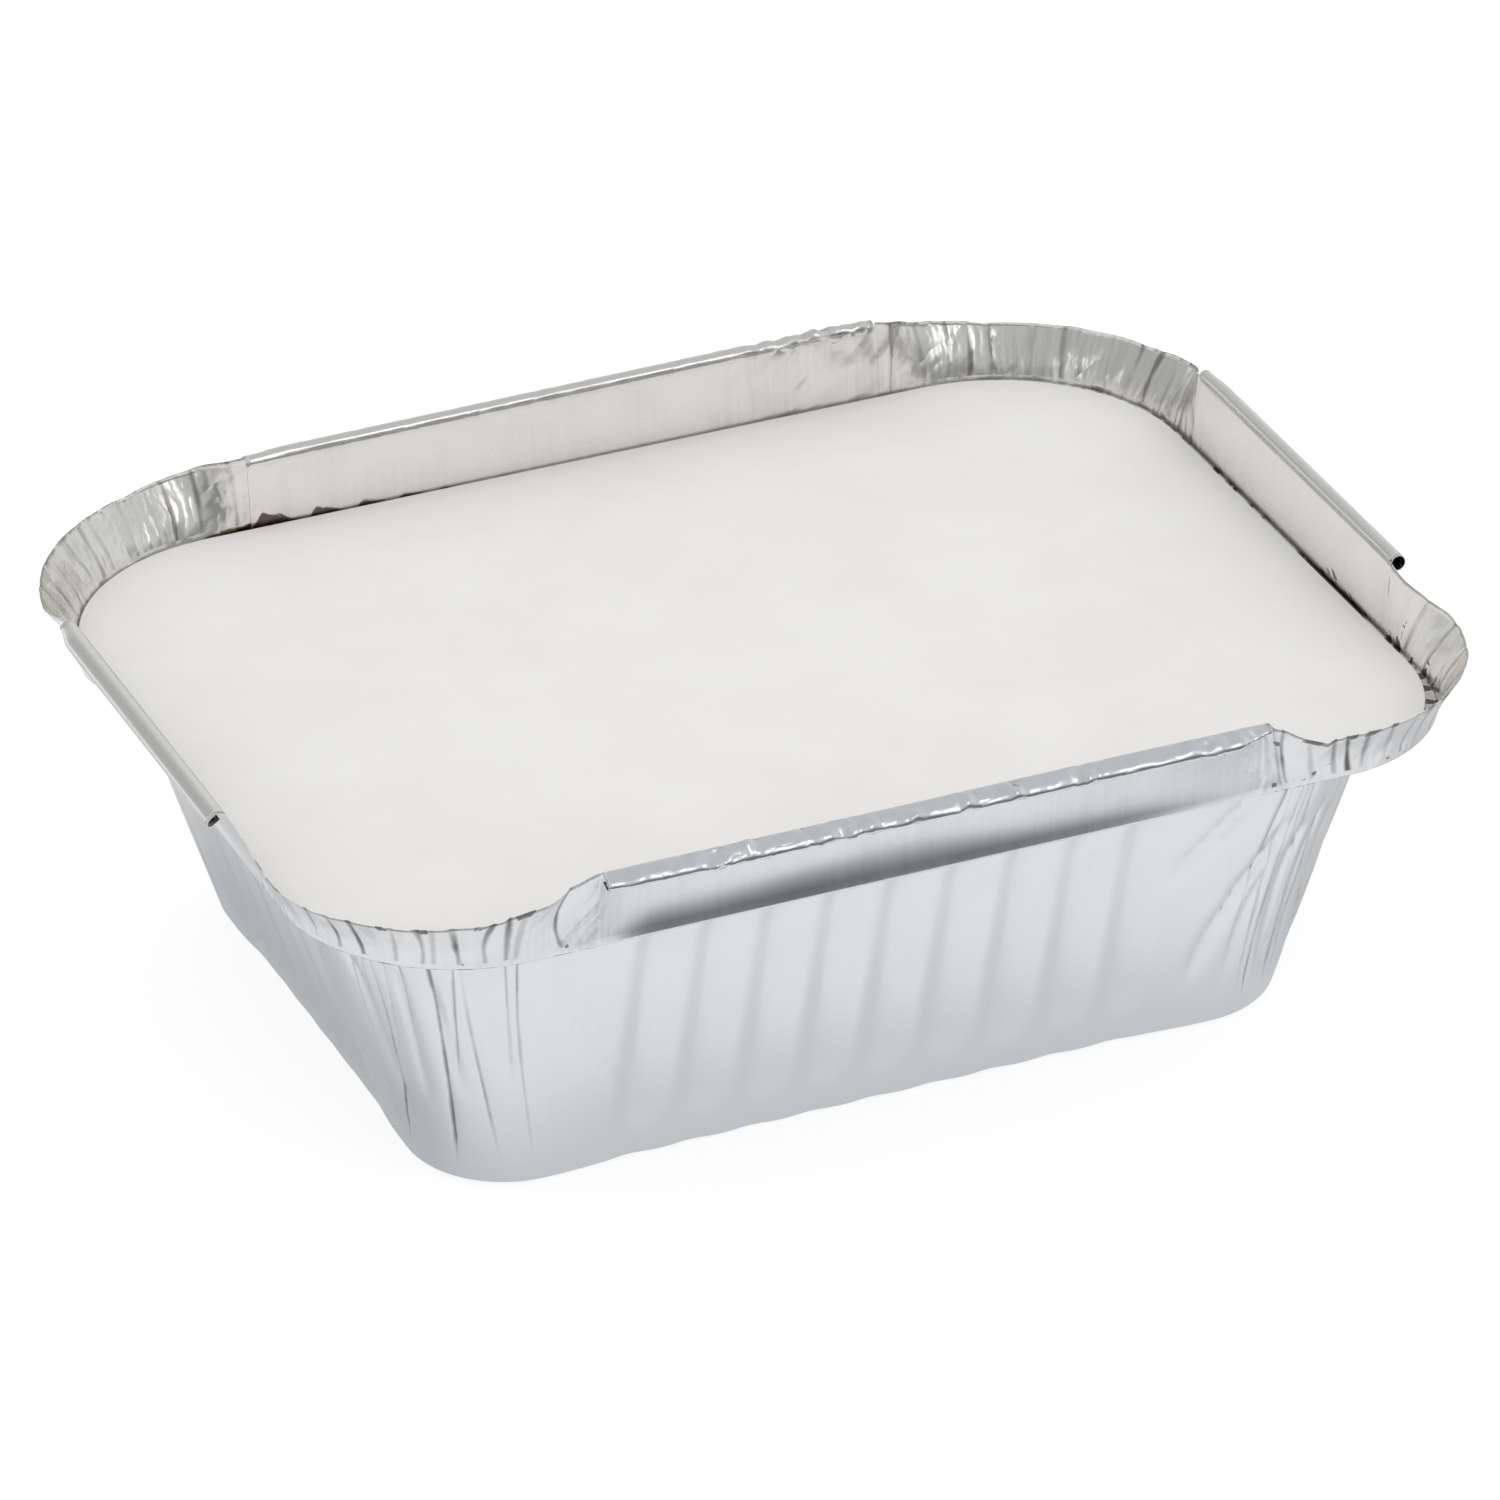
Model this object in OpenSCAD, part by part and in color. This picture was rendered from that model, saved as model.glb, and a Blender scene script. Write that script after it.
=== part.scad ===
// Foil food container with its loose card lid lying in it.
// Millimetres, +Z up, +X along the long side. The origin is the middle of the flat base, on the ground.
// The tray is one pressed sheet of foil: base, fluted walls, ledge, flange and rolled hems.

/* [Foil sheet] */
// Thickness of the foil
foil_t = 0.1; // [0.08:0.01:0.2]
// Radius of the folds at the ledge
fold_r = 0.4; // [0.3:0.1:0.8]

/* [Base] */
// Length of the base, along X
base_len = 149; // [130:1:160]
// Width of the base, along Y
base_wid = 113; // [95:1:120]
// Radius of the base's corners, seen from above
base_corner_r = 17; // [12:1:22]
// Radius of the edge where the base turns up into the wall
base_edge_r = 2.5; // [2:0.5:5]

/* [Ledge] */
// Height of the ledge that carries the lid, above the ground
ledge_z = 51; // [40:1:65]
// Width of the ledge
ledge_w = 5.5; // [3:0.5:8]

/* [Flutes] */
// Number of grooves in each long wall
long_flutes = 9; // [5:1:9]
// Number of grooves in each short wall
short_flutes = 6; // [3:1:6]
// Distance from one groove to the next
flute_pitch = 10.35; // [8:0.05:10.8]
// Depth of a groove
flute_depth = 0.9; // [0.4:0.1:1.6]
// How far the long walls' grooves are off the middle, along X
flute_shift = -1.5; // [-3:0.5:3]
// Height of the rounded lower end of a groove, above the ground
flute_foot_z = 8; // [6:0.5:14]
// How far the fluted stretch of the base's edge lies behind its corners
base_recess = 0.8; // [0:0.2:2.4]

/* [Corner pleats] */
// Number of outward pleats in each corner
corner_pleats = 11; // [6:1:12]
// Depth of a pleat at the flange's edge
pleat_depth = 0.7; // [0.2:0.1:1]

/* [Flange] */
// Height of the flange's sheet on the straight sides, from the ledge to its hem
flange_h = 12.9; // [9:0.1:16]
// Height of the flange's sheet round the corners, where it has no hem
corner_h = 10.8; // [7:0.1:14]
// Outward lean of the front flange, in degrees
lean_front = 6; // [0:1:30]
// Outward lean of the right flange, in degrees
lean_right = 4; // [0:1:30]
// Outward lean of the back flange, in degrees
lean_back = 6; // [0:1:30]
// Outward lean of the left flange, in degrees
lean_left = 20; // [0:1:30]
// Outward lean of the flange round the corners, in degrees
lean_corner = 28; // [10:1:40]

/* [Hems] */
// Radius of the hem that is rolled outwards along each straight side
hem_r = 1.2; // [0.8:0.1:1.8]
// Length of the hems on the front and back
hem_long = 112; // [104:1:113]
// Length of the hems on the left and right
hem_short = 71; // [66:1:74]

/* [Lid] */
// Length of the card lid, along X
lid_len = 191.4; // [180:0.2:200]
// Width of the card lid, along Y
lid_wid = 146; // [136:0.2:155]
// Radius of the lid's corners
lid_r = 32; // [26:1:36]
// Thickness of the card
lid_t = 0.6; // [0.3:0.1:1.2]
// Gap between the lid's edge and the flange
lid_gap = 0.8; // [0.5:0.1:1.5]
// Gap between the lid and the ledge that it rests on
seat_gap = 0.03; // [0.01:0.01:0.1]
// How far the loose lid has slid along X
lid_slide_x = -0.3; // [-0.4:0.1:0.4]
// How far the loose lid has slid along Y
lid_slide_y = -0.2; // [-0.4:0.1:0.4]

/* [Hidden] */

// Stations in each groove, and steps of the hem's turn
flute_steps = 5;
hem_steps = 8;
// A hem's radius shrinks by this share in one turn, so the sheet's end clears the flange
hem_shrink = 0.22;
// Share of a corner over which the flange changes from a side's lean to the corner's
lean_blend = 0.22;
// Length over which the fluted stretch falls back from the corners
recess_blend = 14;

// Flange foot: the inner face's line, just outside the lid
foot_half = [lid_len / 2 + lid_gap, lid_wid / 2 + lid_gap];
foot_r = lid_r + lid_gap;
// Top of the wall, at the ledge's inner edge
wall_half = foot_half - [ledge_w, ledge_w];
wall_r = foot_r - ledge_w;
base_half = [base_len / 2, base_wid / 2];
// Mean slope of the walls off the vertical
draft = atan(((wall_half.x - base_half.x) + (wall_half.y - base_half.y)) / 2 / ledge_z);

// The four sides in turn: front, right, back, left, each with its way along and its way out
along = [[1, 0], [0, 1], [-1, 0], [0, -1]];
outward = [[0, -1], [1, 0], [0, 1], [-1, 0]];
lean_of = [lean_front, lean_right, lean_back, lean_left];
hem_half = [hem_long / 2, hem_short / 2, hem_long / 2, hem_short / 2];
flutes_of = [long_flutes, short_flutes, long_flutes, short_flutes];
shift_of = [flute_shift, 0, -flute_shift, 0];

function mix(a, b, w) = a + (b - a) * w;
function smooth(w) = let (c = min(1, max(0, w))) c * c * (3 - 2 * c);

// A station is [side, place, is it in the corner after that side, groove share 0 to 1, pleat share 0 or 1, kept in the flange].
// On a side, place is the distance from the side's middle. In a corner it is the share of the way round.
function side_stations(s) =
    let (first = shift_of[s] - flutes_of[s] * flute_pitch / 2)
    concat(
        [[s, -hem_half[s], false, 0, 0, true]],
        [for (k = [0 : flutes_of[s] * flute_steps])
            [s, first + k * flute_pitch / flute_steps, false,
             (1 - cos(360 * k / flute_steps)) / 2, 0, k % flute_steps == 0]],
        [[s, hem_half[s], false, 0, 0, true]]
    );
function corner_stations(s) =
    [for (k = [1 : 2 * corner_pleats - 1]) [s, k / (2 * corner_pleats), true, 0, k % 2, true]];

stations = [for (s = [0 : 3]) each concat(side_stations(s), corner_stations(s))];
count = len(stations);
// The ledge and the flange are flat along the sides, so they keep one station to a groove
kept = [for (i = [0 : count - 1]) if (stations[i][5]) i];
kept_count = len(kept);

// Place and outward direction of a station on a rounded rectangle
function on_ring(half, r, st) =
    let (
        s = st[0],
        u = along[s],
        v = outward[s],
        reach = s % 2 == 0 ? half.x : half.y,
        off = s % 2 == 0 ? half.y : half.x,
        turn = (s + 1) % 4,
        fit = min(1, (reach - r) / hem_half[s]),
        fit_next = min(1, (off - r) / hem_half[turn]),
        lead = reach - r - hem_half[s] * fit,
        arc = r * PI / 2,
        trail = off - r - hem_half[turn] * fit_next,
        way = st[1] * (lead + arc + trail),
        angle = (way - lead) / r * 180 / PI
    )
    !st[2] ? [st[1] * fit * u + off * v, v]
    : way < lead ? [(hem_half[s] * fit + way) * u + off * v, v]
    : way > lead + arc ? [reach * u + (off - r - (way - lead - arc)) * v, u]
    : [(reach - r + r * sin(angle)) * u + (off - r + r * cos(angle)) * v, sin(angle) * u + cos(angle) * v];

// How much of the base's recess a station has
function recess_share(st) = st[2] ? 0 : smooth((hem_half[st[0]] - abs(st[1])) / recess_blend);

// Share of the corner's own lean that a station's flange has
function corner_share(st) = st[2] ? smooth(min(st[1], 1 - st[1]) / lean_blend) : 0;
function side_lean(st) = st[2] && st[1] > 0.5 ? lean_of[(st[0] + 1) % 4] : lean_of[st[0]];
function lean_at(st) = mix(side_lean(st), lean_corner, corner_share(st));
function height_at(st) = mix(flange_h, corner_h, corner_share(st));

// Rows of the sheet from the base to the ledge's inner fold:
// [half sizes, corner radius, height, slope of the face below level, share of groove, of pleat, of recess]
function edge_row(slope, groove, pleat) =
    let (in = base_edge_r - (base_edge_r - foil_t) * cos(slope))
    [base_half - [in, in], base_corner_r - in, base_edge_r - (base_edge_r - foil_t) * sin(slope),
     slope, groove, pleat, 1];
function wall_row(z, groove, pleat, recess) =
    let (
        low = edge_row(draft, 0, 0),
        w = (z - low[2]) / (ledge_z - fold_r - low[2])
    )
    [mix(low[0], wall_half, w), mix(low[1], wall_r, w), z, draft, groove, pleat, recess];
wall_rows = [
    edge_row(90, 0, 0),
    edge_row(45 + draft / 2, 0.25, 0.1),
    edge_row(draft, 0.5, 0.2),
    wall_row(mix(base_edge_r, flute_foot_z, 0.5), 0.8, 0.3, 0.9),
    wall_row(flute_foot_z, 1, 0.4, 0.8),
    wall_row(ledge_z * 0.82, 1, 0.8, 0.2),
    wall_row(ledge_z * 0.92, 0.6, 0.9, 0.1),
    wall_row(ledge_z - fold_r, 0, 0.2, 0),
];
wall_count = len(wall_rows);

// Rows across the ledge: [step inwards from the flange's foot, share of pleat]
ledge_rows = [[ledge_w - fold_r, 0.1], [fold_r, 0]];
// Rows up the flange: [share of its height, share of pleat]
flange_rows = [[0, 0.2], [0.5, 0.7], [1, 1]];
flat_count = len(ledge_rows) + len(flange_rows);

// Point d out from a station's ring at height z, moved by t along the normal of a face that slopes below level
function placed(ring, d, z, slope, t) =
    let (p = ring[0] + ring[1] * (d + t * cos(slope)))
    [p.x, p.y, z - t * sin(slope)];

function wall_point(j, st, t) =
    let (
        row = wall_rows[j],
        ring = on_ring(row[0], row[1], st),
        d = pleat_depth * st[4] * row[5] - flute_depth * st[3] * row[4] - base_recess * row[6] * recess_share(st)
    )
    placed(ring, d, row[2], row[3], t);

function ledge_point(j, st, t) =
    let (ring = on_ring(foot_half, foot_r, st))
    placed(ring, pleat_depth * st[4] * ledge_rows[j][1] - ledge_rows[j][0], ledge_z, 90, t);

function flange_point(j, st, t) =
    let (
        ring = on_ring(foot_half, foot_r, st),
        lean = lean_at(st),
        up = height_at(st) * flange_rows[j][0]
    )
    placed(ring, up * sin(lean) + pleat_depth * st[4] * flange_rows[j][1], ledge_z + fold_r + up * cos(lean), lean, t);

// The hem turns outwards from the flange's top about a centre one radius out
function hem_point(k, st, t) =
    let (
        ring = on_ring(foot_half, foot_r, st),
        lean = lean_at(st),
        turn = 360 * k / hem_steps,
        r = hem_r * (1 - hem_shrink * k / hem_steps) - t,
        out = flange_h * sin(lean) + hem_r * cos(lean) - r * cos(turn + lean),
        up = flange_h * cos(lean) - hem_r * sin(lean) + r * sin(turn + lean)
    )
    placed(ring, out, ledge_z + fold_r + up, 0, 0);

function face_points(t) = concat(
    [for (j = [0 : wall_count - 1]) for (st = stations) wall_point(j, st, t)],
    [for (j = [0 : len(ledge_rows) - 1]) for (i = kept) ledge_point(j, stations[i], t)],
    [for (j = [0 : len(flange_rows) - 1]) for (i = kept) flange_point(j, stations[i], t)],
    [for (k = [1 : hem_steps]) for (i = kept) if (!stations[i][2]) hem_point(k, stations[i], t)],
    [[0, 0, foil_t - t]]
);

// Hem stations, as places in the kept list
hemmed = [for (i = [0 : kept_count - 1]) if (!stations[kept[i]][2]) i];
hem_count = len(hemmed);
flat_start = wall_count * count;
hem_start = flat_start + flat_count * kept_count;
centre = hem_start + hem_steps * hem_count;
face_size = centre + 1;

function wall_id(j, i) = j * count + i % count;
function flat_id(j, i) = flat_start + j * kept_count + i % kept_count;
// Row 0 of the hem is the flange's top row
function hem_id(k, h) = k == 0 ? flat_id(flat_count - 1, hemmed[h]) : hem_start + (k - 1) * hem_count + h;
// Is the stretch from a hem station to the next one on the same side?
function same_side(h) = h + 1 < hem_count && stations[kept[hemmed[h]]][0] == stations[kept[hemmed[h + 1]]][0];
function first_on_side(h) = h == 0 || !same_side(h - 1);
function last_on_side(h) = !same_side(h);

function quad(a, b, c, d) = [[a, b, c], [a, c, d]];

// Triangles that join the finely spaced wall top to the ledge's fewer stations
function join(i) =
    let (
        a = kept[i],
        b = i + 1 < kept_count ? kept[i + 1] : count + kept[0],
        mid = floor((a + b) / 2),
        top = wall_count - 1
    )
    concat(
        [for (k = [a : b - 1]) [wall_id(top, k), wall_id(top, k + 1), flat_id(0, k < mid ? i : i + 1)]],
        [[wall_id(top, mid), flat_id(0, i + 1), flat_id(0, i)]]
    );

// The inner face's triangles. The outer face has the same ones, turned round.
inner_face = concat(
    [for (i = [0 : count - 1]) [centre, wall_id(0, i + 1), wall_id(0, i)]],
    [for (j = [0 : wall_count - 2]) for (i = [0 : count - 1])
        each quad(wall_id(j, i), wall_id(j, i + 1), wall_id(j + 1, i + 1), wall_id(j + 1, i))],
    [for (i = [0 : kept_count - 1]) each join(i)],
    [for (j = [0 : flat_count - 2]) for (i = [0 : kept_count - 1])
        each quad(flat_id(j, i), flat_id(j, i + 1), flat_id(j + 1, i + 1), flat_id(j + 1, i))],
    [for (k = [0 : hem_steps - 1]) for (h = [0 : hem_count - 1]) if (same_side(h))
        each quad(hem_id(k, h), hem_id(k, h + 1), hem_id(k + 1, h + 1), hem_id(k + 1, h))]
);
outer_face = [for (f = inner_face) [f[2] + face_size, f[1] + face_size, f[0] + face_size]];

function edge(a, b) = quad(a, b, b + face_size, a + face_size);

// The foil's cut edge: round the corners, along the end of each hem, and at each hem's two ends
cut_edge = concat(
    [for (i = [0 : kept_count - 1])
        if (stations[kept[i]][2] || stations[kept[(i + 1) % kept_count]][2])
            each edge(flat_id(flat_count - 1, i), flat_id(flat_count - 1, i + 1))],
    [for (h = [0 : hem_count - 1]) if (same_side(h)) each edge(hem_id(hem_steps, h), hem_id(hem_steps, h + 1))],
    [for (h = [0 : hem_count - 1]) if (first_on_side(h)) for (k = [0 : hem_steps - 1])
        each edge(hem_id(k, h), hem_id(k + 1, h))],
    [for (h = [0 : hem_count - 1]) if (last_on_side(h)) for (k = [0 : hem_steps - 1])
        each edge(hem_id(k + 1, h), hem_id(k, h))]
);

module foil_tray() {
    color("silver")
        polyhedron(
            points = concat(face_points(0), face_points(foil_t)),
            faces = concat(inner_face, outer_face, cut_edge)
        );
}

module card_lid() {
    color("whitesmoke")
        translate([lid_slide_x, lid_slide_y, ledge_z + seat_gap])
            linear_extrude(lid_t) {
                square([lid_len - 2 * lid_r, lid_wid], center = true);
                square([lid_len, lid_wid - 2 * lid_r], center = true);
                for (x = [-1, 1])
                    for (y = [-1, 1])
                        translate([x * (lid_len / 2 - lid_r), y * (lid_wid / 2 - lid_r)])
                            circle(r = lid_r, $fn = 96);
            }
}

foil_tray();
card_lid();
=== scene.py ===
"""Foil takeaway container with a loose white card lid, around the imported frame.

The tray is one sheet of foil. Its points are worked out on a grid: stations run once round the tray,
and rows run up the sheet from the middle of the base to the end of the rolled hem.
"""

import math

import bpy
import numpy as np
from mathutils import Matrix, Vector


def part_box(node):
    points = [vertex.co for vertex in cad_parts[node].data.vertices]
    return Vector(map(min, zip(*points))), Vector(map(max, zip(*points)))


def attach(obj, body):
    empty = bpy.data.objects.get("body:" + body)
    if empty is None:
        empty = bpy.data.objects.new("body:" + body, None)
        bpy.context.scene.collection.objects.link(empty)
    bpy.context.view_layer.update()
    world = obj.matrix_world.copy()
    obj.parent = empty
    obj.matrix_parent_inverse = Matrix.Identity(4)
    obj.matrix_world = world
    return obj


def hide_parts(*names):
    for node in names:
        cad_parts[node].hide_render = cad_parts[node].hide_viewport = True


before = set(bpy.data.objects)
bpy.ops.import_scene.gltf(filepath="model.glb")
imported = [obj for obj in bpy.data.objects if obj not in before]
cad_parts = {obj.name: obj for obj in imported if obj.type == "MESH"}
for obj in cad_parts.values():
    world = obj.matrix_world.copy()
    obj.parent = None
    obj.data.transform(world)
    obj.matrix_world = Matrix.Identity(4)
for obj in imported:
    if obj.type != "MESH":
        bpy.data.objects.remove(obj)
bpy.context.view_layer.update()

MM = 0.001

# Camera, fitted to the photograph: direction from the object, distance, and the point it looks at
CAMERA_AZIMUTH = math.radians(-23.08)
CAMERA_ELEVATION = math.radians(29.49)
CAMERA_ROLL = math.radians(-0.7)
CAMERA_DISTANCE = 1700 * MM
CAMERA_RIGHT = 0.82 * MM
CAMERA_UP = -14.91 * MM
FOCAL_PIXELS = 10659
IMAGE_PIXELS = 1500
SENSOR = 36.0

# Radiance of the even light on matt surfaces, and the point that the lamps are turned to
EVEN_LIGHT = 1.01
LAMP_TARGET = Vector((0, 0, 50 * MM))
# The floor: half its side, how far it lies under the container, and its glow to the camera
FLOOR_SIDE = 3.0
FLOOR_DROP = 0.05 * MM
FLOOR_GLOW = 0.78
# In the foil the floor is a glowing table, a painted reflection of a lit table with the container's painted
# shadow near it: its grey levels by the distance from the middle, where 1 is the container's own outline,
# that outline's half sizes, and how much cooler the table is where it is dark
TABLE_GLOW_LEVELS = ((0.7, 0.60), (0.8, 0.64), (0.88, 0.70), (0.96, 0.80), (1.1, 0.84), (1.3, 0.87), (1.6, 0.82),
                (1.9, 0.46), (2.2, 0.30), (3.0, 0.20), (5.0, 0.12))
OUTLINE_HALF = (103 * MM, 79 * MM)
TABLE_TINT = 0.16
# Painted shade on the glowing table: how much darker it is close beside the left wall, and there: x, y and
# distance where that starts and is full. The same beside the right corner, with x and y.
TABLE_LEFT_SHADE = 0.27
LEFT_SHADE_STRIP = ((-50 * MM, -85 * MM), (-62 * MM, -46 * MM), (1.14, 1.02))
TABLE_RIGHT_SHADE = 0.28
RIGHT_SHADE_PLACE = ((70 * MM, 95 * MM), (-85 * MM, -65 * MM))
# The white sweep behind the table: y where it starts and is full, and its colour
SWEEP_FROM = (120 * MM, 250 * MM)
SWEEP_COLOUR = (0.9, 0.9, 0.9)
# The room in the foil: grey levels from level with the container (0) to overhead (1), at its front, back,
# left and right; how much cooler it is where it is dark; and the directions where its right, left and front
# start and are full
ROOM_LEVELS = (
    ((0.0, 0.10), (0.1, 0.10), (0.25, 0.24), (0.4, 0.48), (0.5, 0.52), (1.0, 0.52)),
    ((0.0, 0.72), (0.17, 0.70), (0.35, 0.60), (0.5, 0.54), (0.7, 0.52), (1.0, 0.52)),
    ((0.0, 0.92), (0.1, 0.80), (0.22, 0.42), (0.6, 0.42), (1.0, 0.52)),
    ((0.0, 0.70), (0.3, 0.74), (0.5, 0.62), (0.8, 0.56), (1.0, 0.52)),
)
ROOM_TINT = 0.06
ROOM_RIGHT_FROM = (0.2, 0.8)
ROOM_LEFT_FROM = (-0.12, -0.35)
ROOM_FRONT_FROM = (-0.35, -0.8)

# Streaks of the foil: scale of their noise, its length up the sheet as a share, how dark their colour is,
# their depth on the walls, and how much deeper they are where the sheet is gathered, inside and outside;
# where gathered they are partly painted shade of the crinkles
STREAK_SCALE = 1100
STREAK_STRETCH = 0.03
STREAK_DARK = 0.45
WALL_STREAK = 0.02
GATHERED_INSIDE = 0.3
GATHERED_OUTSIDE = 0.04
# Blue-grey tint of the foil on the front hem, a painted reflection of the cool room, and where it starts and
# is full: up the sheet, and in y
HEM_REFLECTION_TINT = (0.87, 0.885, 0.9)
HEM_TINT_FROM = (12.4 * MM, 13.4 * MM)
FRONT_FROM = (-66 * MM, -71 * MM)
# Painted shade line in a fold: its least and greatest half width, and how much wider it is on the flange
FOLD_LINE = (0.14 * MM, 0.42 * MM)
FLANGE_LINE = 1.7
# The x from which the painted shade of the gap beside the card has spikes
SPIKES_FROM = (88 * MM, 94 * MM)
# Fine facets of gathered foil: scale, length up the sheet as a share, how far they wander, and depth
FACET_SCALE = 760
FACET_STRETCH = 0.16
FACET_WANDER = (2.2 * MM, 2.2 * MM, 3 * MM)
FACET_DEPTH = 0.2 * MM
# Coarse crumples: scale, depth, slope from upright in degrees, and how much longer they are that way
CRUMPLE_SCALE = 190
CRUMPLE_DEPTH = 2 * MM
CRUMPLE_SLOPE = 42
CRUMPLE_STRETCH = 2.8
# The card's two tones, and the depth of its fibre
CARD_TONES = ((0.785, 0.775, 0.757), (0.812, 0.804, 0.788))
FIBRE_DEPTH = 0.06 * MM

# Sizes from the frame
card_low, card_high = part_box("card_lid")
card_half = ((card_high.x - card_low.x) / 2, (card_high.y - card_low.y) / 2)
card_centre = ((card_high.x + card_low.x) / 2, (card_high.y + card_low.y) / 2)
CARD_R = np.array((28.5, 32, 32, 31)) * MM
CARD_SOFT = 0.12 * MM
LID_GAP = 0.4 * MM
SEAT_GAP = 0.03 * MM

# Foil sheet
FOIL = 0.1 * MM
BASE_HALF = (74.5 * MM, 56.3 * MM)
BASE_SHIFT = (-1.1 * MM, -0.4 * MM)
BASE_R = np.full(4, 17 * MM)
BASE_EDGE_R = 2.4 * MM
LEDGE_Z = card_low.z - SEAT_GAP
LEDGE_W = 5.5 * MM
FOLD_R = 0.6 * MM
NOSE_R = 0.4 * MM
FOOT_HALF = (card_half[0] + LID_GAP, card_half[1] + LID_GAP)
# Radii of the four corners: right, far right, far left, near
FOOT_R = np.array((25, 32, 32.5, 29.5)) * MM
WALL_HALF = (FOOT_HALF[0] - LEDGE_W, FOOT_HALF[1] - LEDGE_W)
WALL_R = np.array((31, 27, 27, 28)) * MM

# Sides in turn. Each corner has the number of the side it follows: right, far right, far left, near.
FRONT, RIGHT, BACK, LEFT = range(4)
ALONG = ((1, 0), (0, 1), (-1, 0), (0, -1))
OUTWARD = ((0, -1), (1, 0), (0, 1), (-1, 0))
HEM_HALF = (56 * MM, 35.5 * MM, 56 * MM, 35.5 * MM)
# Where each hem stops, as a distance from its side's middle
HEM_STOP = (56 * MM, 35.5 * MM, 56 * MM, 32.8 * MM)
HEM_R = 1.3 * MM
# Length of the flange up the sheet, at the start and end of each side
FLANGE_H = ((13.3, 13.3), (12.8, 12.8), (12.2, 11.3), (12.8, 12.8))
# Sections of the hems: directions of the sheet, in degrees from upright towards the outside, and the length
# of each step in millimetres. The front and left hems are pressed flat, the others round.
ROUND_HEM = ((20, 48, 76, 104, 132, 158, 184, 210, 236, 262, 288, 314, 340, 366), (0.62,) * 14)
FRONT_HEM = ((40, 80, 102, 108, 110, 112, 116, 134, 145, 185, 235, 280, 292, 298),
             (0.35, 0.35, 0.4, 0.5, 0.5, 0.5, 0.4, 0.5, 0.5, 0.45, 0.5, 0.6, 0.8, 0.7))
LEFT_HEM = ((66, 70, 73, 76, 104, 124, 128, 132, 150, 165, 210, 268, 300, 304),
            (0.4, 0.45, 0.45, 0.35, 0.25, 0.45, 0.6, 0.45, 0.35, 0.45, 0.5, 0.5, 0.9, 0.9))
HEM_SECTIONS = (FRONT_HEM, ROUND_HEM, ROUND_HEM, LEFT_HEM)

# Flange of each side: angle from upright at its foot, the same at the hem's ends, and its mean lean.
# Negative leans inwards. Degrees.
FLANGE_FOOT = (-18, -8, 3, 4)
FLANGE_FOOT_END = (3, 0, 3, 4)
FLANGE_LEAN = (6, 4, 6, 20)
# How quickly the flange bends away from its foot's angle, and the same at the front's right end
FLANGE_BEND = 2.2
FLANGE_BEND_END = 5.5
# Where it does so on the front: start of the stretch, as a distance to the right of the side's middle or to
# the left of it, and its length; and how far the left one goes
BEND_TO_RIGHT = (-6 * MM, 34 * MM)
BEND_TO_LEFT = (20 * MM, 20 * MM)
BEND_LEFT_SHARE = 0.35
# Where the flange takes on its angle at the hem's ends: on the front's right part, and before any side's end
FRONT_TURNS_FROM = (22 * MM, 32 * MM)
SIDE_TURNS_FROM = (-10 * MM, 10 * MM)
# The angles for each corner, and the shares of a corner over which they come in
CORNER_FOOT = (12, 14, 20, 8)
FOOT_BLEND = 0.16
LEAN_BLEND = 0.18
CORNER_LEAN = (25.8, 30.5, 33.8, 22.4)
# Length of the flange up the sheet round each corner: shares of the way round, and millimetres there
CORNER_HEIGHTS = (
    ((0, 0.02, 0.06, 0.13, 0.17, 0.19, 0.5, 0.9, 0.96, 1),
     (13.0, 13.2, 12.6, 11.2, 10.2, 10.9, 10.6, 10.6, 11.6, 12.9)),
    ((0, 0.1, 0.3, 0.7, 0.88, 1), (13.2, 11.2, 9.8, 9.6, 11.2, 13.2)),
    ((0, 0.12, 0.3, 0.8, 0.95, 1), (12.6, 11.8, 10.6, 10.4, 11.2, 12.8)),
    ((0, 0.03, 0.09, 0.18, 0.32, 0.42, 0.6, 0.70, 0.75, 0.80, 0.86, 1),
     (12.9, 11.4, 8.9, 7.0, 7.7, 8.6, 9.5, 10.1, 11.0, 12.6, 13.1, 13.4)),
)
# How far the hem's ends are pinched, at the start and end of each side, where 1 is open, and the two lengths
HEM_ENDS = ((0.9, 0.55), (1.0, 0.85), (0.85, 0.85), (0.7, 1.0))
PINCH_LENGTHS = (6 * MM, 7 * MM)
# Loose flap of the left hem's roll near its far end: place from the side's middle and half length. Along it
# the roll stops turning early: no hem turns past ROLL_TURN degrees, and the flap takes FLAP_TURN off that.
FLAP_PLACE = -24 * MM
FLAP_HALF = 14 * MM
ROLL_TURN = 366
FLAP_TURN = 165
# Crumpled places of the front hem, as distances from its middle, and their half lengths, in millimetres
HEM_CRUMPLES = ((-37.5, 3.0), (-31.5, 2.0), (-21.5, 1.5), (-15.5, 4.5), (-5.0, 1.5), (3.8, 2.0), (12.5, 1.2),
                (24, 3.0), (45, 2.5), (54, 3.0))
# How crumpled and how dented each side's hem is all along, and how much more in its crumpled places
HEM_CRUMPLED = (0.5, 0.04, 0.2, 0.04)
HEM_DENTED = (0.2, 0.02, 0.1, 0.02)
MORE_CRUMPLED = 0.7
MORE_DENTED = 1.1
# The back hem is crumpled from this distance to the right of its middle, over this length
BACK_HEM_FROM = (25 * MM, 20 * MM)
# Size of the dents of the hems and of the flanges
HEM_DENT = 3.6 * MM
FLANGE_DENT = 6 * MM
# How crinkled the back flange is at its right and its left end, and how deep its dents are there: a strength,
# then the distance from the side's middle where it begins, and the length over which it grows
BACK_CRINKLES = ((0.8, 20 * MM, 20 * MM), (0.7, 44 * MM, 9 * MM))
BACK_DENTS = ((1.1, 22 * MM, 22 * MM), (0.6, 46 * MM, 10 * MM))
BACK_DENT_LEAST = 0.03
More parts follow.
